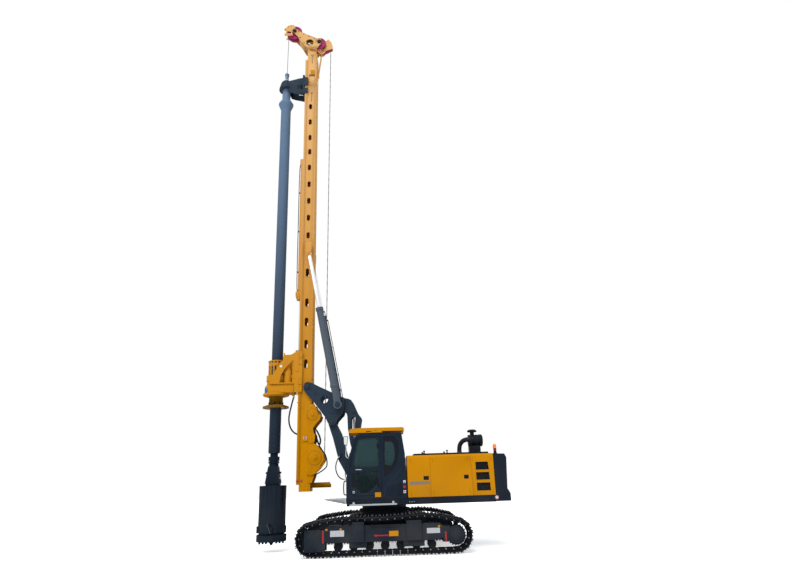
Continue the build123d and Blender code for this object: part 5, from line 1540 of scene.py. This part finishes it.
@dataclass(frozen=True)
class MastHead(Assembly):
    """The mast head with its sheaves, rope guards and pins."""

    front_sheave: tuple = (3.08, 18.62)
    rear_sheave: tuple = (1.95, 18.03)
    side_sheave: tuple = (2.113, 18.09)
    half: float = 0.27
    skins = ((Finish.MAST, 0.006, "mast_head"), (Finish.SHEAVE, 0.004,
        "front_sheaves rear_sheaves side_sheave"))
    steps = ("pins", "guards", "spokes")

    def pins(self) -> None:
        """Small pins along the plates' top edge, caps on the sheaves' shafts and bolts on the neck."""
        shape = Shape()
        spots = (
            (3.44, 18.7), (3.33, 18.82), (3.22, 18.875), (3.07, 18.72), (2.92, 18.58), (2.72, 18.46),
            (2.52, 18.35), (2.3, 18.25), (2.12, 18.2), (2.1, 18.02), (2.85, 18.3), (2.7, 18.04))
        for side in (-1, 1):
            places = [(x, side * self.half, z) for x, z in spots]
            shape.bolts(places, (0, side, 0), 0.017, 0.016)
            for (x, z), reach in ((self.front_sheave, 0.285),
                    (self.side_sheave, 0.282 if side > 0 else 0.272)):
                shape.turned(boss(0.075, 0.012, 0.062, 0.018), (x, side * reach, z), (0, side, 0), 24)
            shape.turned(boss(0.07, 0.012, 0.058, 0.016),
                (*self.rear_sheave[:1], side * 0.1, self.rear_sheave[1]), (0, side, 0), 24)
        shape.build("head_pins", Finish.FRAME, "mast")

    def guards(self) -> None:
        """Bars that keep the rope in the sheaves' grooves."""
        shape = Shape()
        for x, z in ((3.405, 18.7), (2.81, 18.5), (3.19, 18.885)):
            shape.swept([(x, -0.255, z), (x, 0.255, z)], 0.014, 10)
        shape.swept([(1.72, -0.07, 18.27), (1.72, 0.07, 18.27)], 0.014, 10)
        shape.swept([(1.66, -0.07, 17.93), (1.66, 0.07, 17.93)], 0.014, 10)
        shape.build("rope_guards", Finish.FRAME, "mast")

    def spokes(self) -> None:
        """Ribs on the sheaves' webs."""
        for name, body, (x, z), radius, heights in (
                ("front", "front_sheaves", self.front_sheave, 0.225, (0, 0.165)),
                ("rear", "rear_sheaves", self.rear_sheave, 0.225, (0,)),
                ("side", "side_sheave", self.side_sheave, 0.175, (0.165,))):
            shape = Shape()
            for y in heights:
                for turn in angles(6):
                    ahead = np.array((math.cos(turn), 0, math.sin(turn)))
                    start = np.array((x, y, z)) + 0.094 * ahead
                    shape.swept([start, np.array((x, y, z)) + radius * ahead], 0.02, 6)
            shape.build(f"{name}_sheave_ribs", Finish.SHEAVE, body)


@dataclass(frozen=True)
class Winches(Assembly):
    """Main and auxiliary winch on the mast's rear, with rope on their drums."""

    main: tuple = (2.07, 2.6)
    small: tuple = (2.15, 3.895)
    rope: float = 0.014
    skins = ((Finish.MAST, 0.005, "winch_frame"), (Finish.BLACK, 0, "winch_pipes"),
        (Finish.MAST, 0.004, "main_winch_drum aux_winch_drum"))
    steps = ("ropes", "covers", "piping")

    def ropes(self) -> None:
        """Wind the rope on both drums."""
        self.wind("main_rope_turns", self.main, 0.25, "main_drum")
        self.wind("aux_rope_turns", self.small, 0.185, "aux_drum")

    def wind(self, name: str, centre: tuple, radius: float, body: str) -> None:
        """Rope wound on a drum: (x + R cos t, y0 + p t, z + R sin t), R to the rope's middle."""
        turns = int(0.425 / (2.08 * self.rope))
        t = np.linspace(0, math.tau * turns, turns * 28)
        reach = radius + self.rope
        y = -0.205 + (0.41 / t[-1]) * t
        line = np.stack([centre[0] + reach * np.cos(t), y, centre[1] + reach * np.sin(t)], axis=1)
        Shape().swept(line, self.rope, 6).build(name, Finish.ROPE, body)

    def covers(self) -> None:
        """Bolts round the gearboxes' covers and the plates' edges, ribs between the winches, and dark rings
        of painted shade for the covers' grooves.
        """
        shape = Shape()
        wall = 0.333
        for (x, z), radius, count in ((self.main, 0.186, 18), (self.small, 0.146, 14)):
            shape.bolts(circle((x, wall, z), radius, count, (0, 1, 0)), (0, 1, 0), 0.011, 0.009)
            shape.bolts(circle((x, 0.338, z), 0.085, 8, (0, 1, 0)), (0, 1, 0), 0.01, 0.008)
            shape.turned(boss(0.045, 0.02, 0.034, 0.03), (x, 0.338, z), (0, 1, 0), 24)
        arc = circle((*self.small[:1], 0.326, self.small[1]), 0.215, 9, (0, 1, 0), 2.0, 2.6)
        shape.bolts(arc, (0, 1, 0), 0.01, 0.009)
        for x, z in ((2.22, 4.12), (2.22, 3.62), (2.22, 3.4), (2.16, 3.15), (2.22, 2.1), (2.22, 1.95)):
            shape.bolts([(x, 0.326, z)], (0, 1, 0), 0.015, 0.012)
        low, high = sorted((0.3265, 0.345))
        for z in (3.05, 2.08):
            shape.block((2.12, 2.28), (low, high), (z - 0.011, z + 0.011))
        shape.both().build("winch_cover_bolts", Finish.MAST, "mast")
        # painted shade: thin umber rings stand for the shade in the grooves round the covers
        groove_shade = Shape()
        for (x, z), radius in ((self.main, 0.2075), (self.small, 0.1675), (self.main, 0.105),
                (self.small, 0.098)):
            wall = (0.3265 if radius > 0.16 else 0.3335)
            groove_shade.collar((radius, radius + 0.01), (-0.001, 0.0015), (x, wall, z), (0, 1, 0), sides=44)
        groove_shade.both().build("winch_cover_groove_shade", Finish.UMBER, "mast")

    def piping(self) -> None:
        """A valve block with three bright connectors, and a steel pipe under the main winch."""
        shape, ends = Shape(), Shape()
        shape.block((2.3, 2.44), (0.3, 0.335), (3.1, 3.15))
        for x in (2.32, 2.37, 2.42):
            ends.turned(((0.014, 0), (0.014, 0.05), (0.009, 0.06), (0.009, 0.09)), (x, 0.318, 3.15), sides=10)
        ends.build("winch_connectors", Finish.BARE, "mast")
        route = ((2.3, 0.345, 2.16), (2.18, 0.35, 2.1), (2.04, 0.35, 2.16), (1.88, 0.335, 2.32),
            (1.785, 0.3, 2.42), (1.775, 0.24, 2.56))
        shape.swept(smooth_path(route, 5), 0.021, 10)
        shape.build("winch_valve", Finish.MAST, "mast")
        sleeve = Shape()
        for points in (
                ((2.035, 0.232, 3.42), (1.967, 0.232, 3.3), (1.918, 0.232, 3.17), (1.908, 0.232, 3.06),
                (1.935, 0.232, 2.99)), ((2.085, 0.272, 3.35), (2.02, 0.272, 3.16), (1.96, 0.272, 2.99))):
            sleeve.swept(smooth_path(points, 6), 0.0265, 12)
        sleeve.build("winch_hose_sleeves", Finish.RUBBER, "mast")


# ---- rotary head, kelly and ropes
@dataclass(frozen=True)
class RotaryHead(Assembly):
    """The rotary head on its carriage, with springs, flange bolts and plates."""

    axis_x: float = 3.36
    motor: tuple = (2.965, 0.205)
    flange: float = 0.38
    springs: int = 14
    skins = ((Finish.MAST, 0.005, "head_carriage gearbox_housing drive_motors kelly_damper"),
        # the sleeve's darker amber is painted shade from the head above it
        (Finish.SLEEVE, 0.005, "drive_sleeve"))
    steps = ("coils", "flange_bolts", "motor_fittings", "plates", "carriage")

    def coils(self) -> None:
        """Springs round the damper: (a + r cos t, b + r sin t, z0 + p t), with a rod inside each."""
        shape, rods = Shape(), Shape()
        t = np.linspace(0, math.tau * 7, 7 * 12)
        rise = 5.165 + 0.455 * t / t[-1]
        for x, y, _ in circle((self.axis_x, 0, 0), 0.24, self.springs):
            line = np.stack([x + 0.028 * np.cos(t), y + 0.028 * np.sin(t), rise], axis=1)
            shape.swept(line, 0.0075, 5)
            rods.turned(((0.013, 5.12), (0.013, 5.645)), (x, y, 0), sides=8)
        shape.build("damper_springs", Finish.CAST, "rotary_head")
        rods.build("damper_spring_rods", Finish.BLACK, "rotary_head")
        Shape().bolts(circle((self.axis_x, 0, 5.1), 0.278, 18, start=0.1), (0, 0, 1), 0.013,
            0.012).build("damper_bolts", Finish.BARE, "rotary_head")

    def flange_bolts(self) -> None:
        """Bolts above and below the gearbox's flange and round the sleeve's collar."""
        shape = Shape()
        spots = circle((self.axis_x, 0, 4.6), self.flange, 24, start=0.13)
        shape.bolts(spots[spots[:, 0] > 3.2], (0, 0, 1), 0.015, 0.014)
        shape.bolts(circle((self.axis_x, 0, 4.54), self.flange, 24, start=0.13), (0, 0, -1), 0.015, 0.014)
        loop = [(x, y, 4.862) for x, y in ((2.8, 0.3), (3.02, 0.345), (3.2, 0.345), (3.62, 0.22), (3.66, 0),
            (3.62, -0.22), (3.2, -0.345), (3.02, -0.345), (2.8, -0.3))]
        shape.bolts(loop, (0, 0, 1), 0.014, 0.012)
        shape.build("gearbox_bolts", Finish.MAST, "rotary_head")

    def motor_fittings(self) -> None:
        """Bolts round the motors' feet, a cap seam, ports and hoses between motors and carriage."""
        x, reach = self.motor
        shape, hoses = Shape(), Shape()
        y = reach
        shape.bolts(circle((x, y, 4.93), 0.12, 12), (0, 0, 1), 0.011, 0.01)
        shape.turned(((0.106, 5.2), (0.112, 5.205), (0.112, 5.235), (0.106, 5.24)), (x, y, 0), sides=36,
            ring=True)
        shape.bolts(circle((x, y, 5.43), 0.06, 6), (0, 0, 1), 0.012, 0.01)
        shape.block((x - 0.16, x - 0.085), (y - 0.045, y + 0.045), (5.06, 5.17))
        for lift in (5.09, 5.14):
            route = ((x - 0.15, y + 0.02, lift), (x - 0.21, y + 0.03, lift),
                (x - 0.235, y + 0.05, lift - 0.12), (x - 0.235, y + 0.05, 4.86))
            hoses.swept(smooth_path(route, 5), 0.013, 8)
        shape.both().build("motor_fittings", Finish.MAST, "rotary_head", bevel=0.002)
        hoses.both().build("motor_hoses", Finish.RUBBER, "rotary_head")

    def plates(self) -> None:
        """A blank blue plate on the gearbox's slanted face and a white disc on the carriage."""
        start, end = np.array((3.585, 0.274)), np.array((3.688, 0.204))
        run = end - start
        out = np.array((-run[1], run[0])) / np.linalg.norm(run)
        corners = [start + out * 0.001, end + out * 0.001, end + out * 0.004, start + out * 0.004]
        Shape().prism(corners, 4.625, 4.755, "Z").build("gearbox_blank_plate", Finish.BLUE, "rotary_head")
        for name, side in (("left", 1), ("right", -1)):
            Shape().turned(boss(0.04, 0.003, 0.036, 0.004), (3.17, side * 0.3755, 5.42), (0, side, 0),
                24).build(f"carriage_disc_{name}", Finish.WHITE, "rotary_head")

    def carriage(self) -> None:
        """Bolts and pins on the carriage's plates, and the crowd ram's gland, bands and pipe."""
        shape = Shape()
        for low in (4.02, 5.62):
            shape.bolts([(x, 0.375, z) for x in (2.46, 2.58) for z in (low, low + 0.1, low + 0.2)], (0, 1, 0),
                0.014, 0.011)
        shape.bolts([(x, 0.375, z) for x, z in ((2.74, 4.36), (2.74, 4.7), (2.74, 5.02), (3.06, 4.66),
            (3.06, 4.9))], (0, 1, 0), 0.015, 0.012)
        shape.turned(boss(0.052, 0.01, 0.042, 0.016), (2.66, 0.375, 5.28), (0, 1, 0), 24)
        shape.both().build("carriage_bolts", Finish.MAST, "rotary_head")
        gland = Shape()
        gland.collar((0.06, 0.104), (7.775, 7.85), (2.66, 0, 0), sides=36)
        gland.bolts(circle((2.66, 0, 7.775), 0.085, 8), (0, 0, -1), 0.012, 0.01)
        for z in (8.02, 12.8):
            gland.turned(((0.097, z), (0.104, z + 0.006), (0.104, z + 0.05), (0.097, z + 0.056)),
                (2.66, 0, 0), sides=36, ring=True)
        gland.build("crowd_ram_gland", Finish.MAST, "mast")
        pipe = Shape()
        pipe.swept(smooth_path(((2.76, 0.03, 7.96), (2.79, 0.03, 7.98), (2.79, 0.03, 9.5), (2.79, 0.03, 11.0),
            (2.79, 0.03, 12.78), (2.76, 0.03, 12.82)), 5), 0.013, 8)
        for z in (8.7, 10.2, 11.7):
            pipe.turned(((0.026, 0), (0.026, 0.045)), (2.752, 0.03, z), (1, 0, 0), 4)
        pipe.build("crowd_ram_pipe", Finish.FRAME, "mast")


@dataclass(frozen=True)
class Kelly(Assembly):
    """Kelly guide, tube, stub and bucket with their marks, bolts and teeth."""

    axis_x: float = 3.36
    radius: float = 0.18
    tooth_rings: tuple = (0.15, 0.245, 0.34)
    skins = ((Finish.LINK, 0.005, "kelly_guide"), (Finish.KELLY, 0.004, "kelly_tube"),
        (Finish.BUCKET, 0.005, "kelly_stub drilling_bucket"))
    steps = ("guide", "marks", "lower_end", "bucket", "swivel")

    def guide(self) -> None:
        """Bolts on the guide's arms."""
        Shape().bolts([(x, 0.345, z) for x in (2.56, 2.66) for z in (16.12, 16.24)], (0, 1, 0), 0.014,
            0.01).both().build("kelly_guide_bolts", Finish.LINK, "kelly_guide")

    def marks(self) -> None:
        """Rivets down the tube's lower end and weld rings along it."""
        shape = Shape()
        for side in (-1, 1):
            places = [(self.axis_x, side * (self.radius - 0.001), z) for z in np.arange(3.0, 4.0, 0.14)]
            rivet = Shape()
            rivet.turned(boss(0.008, 0.003, 0.005, 0.005), (0, 0, 0), (0, side, 0), 8)
            shape.repeat(rivet, np.array(places))
        shape.build("kelly_rivets", Finish.RAM, "kelly")
        seams = Shape()
        for z in (15.155, 14.2, 12.7, 11.2, 9.7, 8.2, 6.7):
            seams.turned(((0.179, z), (0.1835, z + 0.004), (0.1835, z + 0.012), (0.179, z + 0.016)),
                (self.axis_x, 0, 0), sides=40, ring=True)
        seams.build("kelly_seams", Finish.KELLY, "kelly")

    def lower_end(self) -> None:
        """Bolts on the stub's flange, its pins, the skirt over the bucket and two raised rings."""
        shape = Shape()
        shape.bolts(circle((self.axis_x, 0, 2.875), 0.15, 10), (0, 0, -1), 0.014, 0.012)
        for side in (-1, 1):
            shape.turned(boss(0.03, 0.03, 0.02, 0.038), (self.axis_x - 0.07, side * 0.125, 2.04),
                (0, side, 0), 18)
        shape.turned(boss(0.026, 0.06, 0.018, 0.068), (self.axis_x - 0.165, 0, 2.043), (-1, 0, 0), 18)
        shape.build("kelly_stub_bolts", Finish.BARE, "kelly")
        skirt = Shape()
        for x, y in ((0, 0.19), (0, -0.19), (0.19, 0), (-0.19, 0)):
            long, thin = (0.17, 0.012) if x == 0 else (0.012, 0.17)
            skirt.block((self.axis_x + x - long, self.axis_x + x + long), (y - thin, y + thin),
                (1.838, 1.905))
        skirt.build("kelly_stub_skirt", Finish.BUCKET, "kelly", bevel=0.003)
        ribs = Shape()
        for z in (2.58, 2.52):
            ribs.turned(((0.16, z), (0.168, z + 0.004), (0.168, z + 0.014), (0.16, z + 0.018)),
                (self.axis_x, 0, 0), sides=40, ring=True)
        ribs.build("kelly_stub_ribs", Finish.BUCKET, "kelly")

    def bucket(self) -> None:
        """Rivets, seams, a latch with bright bolts and worn tips on the bucket's teeth."""
        shape = Shape()
        for z in (1.8, 0.78, 0.5):
            spots = circle((0, 0, 0), 1.0, 20, start=0.08)
            for turn in spots:
                place = (self.axis_x + 0.399 * turn[0], 0.399 * turn[1], z)
                shape.bolts([place], (turn[0], turn[1], 0), 0.011, 0.008)
        shape.build("bucket_rivets", Finish.BUCKET, "kelly")
        latch = Shape()
        for x, z in ((3.414, 0.763), (3.395, 0.71), (3.372, 0.655), (3.348, 0.6), (3.323, 0.546)):
            y = math.sqrt(0.4425 ** 2 - (x - self.axis_x) ** 2)
            for side in (-1, 1):
                latch.turned(boss(0.008, 0.005, 0.005, 0.008), (x, side * y, z),
                    ((x - self.axis_x) / 0.44, side * y / 0.44, 0), 10)
        latch.build("bucket_latch_bolts", Finish.BARE, "kelly")
        seam = Shape()
        t = np.linspace(0, 1, 24)
        for start in (0.6, 3.9):
            turn = start + 0.5 * t
            line = np.stack([self.axis_x + 0.401 * np.cos(turn), 0.401 * np.sin(turn), 0.8 + 1.0 * t], axis=1)
            seam.swept(line, 0.007, 6)
        seam.build("bucket_seams", Finish.BUCKET, "kelly")
        tips = Shape()
        for reach in self.tooth_rings:
            for x in (self.axis_x - reach, self.axis_x + reach):
                tips.turned(((0.027, 0.335), (0.024, 0.31), (0.008, 0.266)), (x, 0, 0), sides=8)
        tips.build("bucket_tooth_tips", Finish.BARE, "kelly")

    def swivel(self) -> None:
        """Bright rings on the rope swivel."""
        shape = Shape()
        for z in (16.53, 16.66):
            shape.turned(((0.06, z), (0.066, z + 0.004), (0.066, z + 0.016), (0.06, z + 0.02)),
                (self.axis_x, 0, 0), sides=28, ring=True)
        shape.build("swivel_rings", Finish.BARE, "kelly")


@dataclass(frozen=True)
class Ropes:
    """The hoist rope's taut runs, fixed to the mast."""

    radius: float = 0.011
    drum: tuple = (2.07, 2.6)
    rear: tuple = (1.95, 18.03)
    front: tuple = (3.08, 18.62)
    reach: float = 0.264
    groove: float = 0.258
    bottom: float = 7.4
    strand: float = 0.0085
    twists: float = 15.4 / 0.09 / math.tau

    def build(self) -> None:
        """Run the main rope from the drum over both sheaves and down into the kelly."""
        lean = math.atan2(self.front[1] - self.rear[1], self.front[0] - self.rear[0]) + math.pi / 2
        line = [(self.drum[0] - self.reach, self.drum[1]), (self.rear[0] - self.groove, self.rear[1])]
        for (x, z), turns in ((self.rear, np.linspace(math.pi, lean, 10)[1:]),
                (self.front, np.linspace(lean, 0, 14))):
            line += [(x + self.groove * math.cos(t), z + self.groove * math.sin(t)) for t in turns]
        line += [(3.354, 17.6), (3.358, 16.7), (3.36, self.bottom)]
        route = np.insert(np.array(line), 1, 0, axis=1)
        shape = Shape()
        shape.swept(route, self.radius, 10)
        share = np.linspace(0, 1, 400)
        for turn in (0, math.pi):
            spin = turn + share * math.tau * self.twists
            strand = self.strand * np.stack([np.cos(spin), np.sin(spin), np.zeros(400)], axis=1)
            shape.swept(route[0] + (route[1] - route[0]) * share[:, None] + strand, 0.006, 4)
        shape.build("hoist_rope", Finish.ROPE, "mast")


@dataclass(frozen=True)
class Hose:
    """A loose hose: a curve declared as a cord, with a crimped fitting at each end."""

    name: str
    body: str
    route: tuple
    radius: float

    def build(self) -> None:
        data = bpy.data.curves.new(f"{self.name}_cord", "CURVE")
        data.dimensions, data.use_fill_caps = "3D", True
        data.bevel_depth, data.bevel_resolution = self.radius, 6
        spline = data.splines.new("NURBS")
        spline.points.add(len(self.route) - 1)
        for point, place in zip(spline.points, self.route):
            point.co = (*place, 1.0)
        spline.order_u, spline.resolution_u, spline.use_endpoint_u = 3, 12, True
        data.materials.append(Finish.RUBBER.value.material())
        hose = placed(f"{self.name}_cord", data)
        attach(hose, self.body)
        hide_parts(self.name)
        ends = Shape()
        for at, ahead in ((0, 1), (-1, -2)):
            start = np.array(self.route[at])
            run = np.array(self.route[ahead]) - start
            run /= np.linalg.norm(run)
            r = self.radius
            profile = ((r * 1.02, 0.004), (r * 1.22, 0.006), (r * 1.22, 0.034), (r * 1.08, 0.036),
                (r * 1.22, 0.04), (r * 1.22, 0.066), (r * 1.02, 0.07))
            ends.turned(profile, tuple(start), tuple(run), 20, True)
        ends.build(f"{self.name}_fittings", Finish.BARE, self.body)


def main() -> None:
    """Build every part of the machine in order."""
    logging.basicConfig(level=logging.INFO, format="%(message)s")
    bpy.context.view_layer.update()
    bpy.context.scene.view_settings.view_transform = "Standard"
    Studio().build()
    for side in ("left", "right"):
        Crawler(side, 1 if side == "left" else -1).build()
    pieces = (CarBody(), Deck(), Cab(), Hood(), AirCleaner(), Beacon(), Linkage(), Mast(), MastHead(),
        Winches(), RotaryHead(), Kelly(), Ropes())
    for piece in pieces:
        log.info("building %s", type(piece).__name__)
        piece.build()
    for hose in HOSES:
        hose.build()
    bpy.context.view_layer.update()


HOSES = (Hose("head_hose", "rotary_head", ((2.777, 0.1, 4.512), (2.832, 0.102, 4.3), (2.886, 0.105, 4.065),
    (2.92, 0.108, 3.862), (2.915, 0.112, 3.69), (2.862, 0.12, 3.52), (2.77, 0.134, 3.39),
    (2.64, 0.156, 3.318), (2.566, 0.17, 3.299)), 0.024),
    Hose("boom_hose", "front_link", ((1.318, 0.332, 2.631), (1.385, 0.332, 2.52), (1.432, 0.332, 2.38),
    (1.432, 0.332, 2.225), (1.38, 0.332, 2.08), (1.28, 0.332, 1.975), (1.185, 0.332, 1.948),
    (1.117, 0.332, 1.948)), 0.016), )


if __name__ == "__main__":
    main()
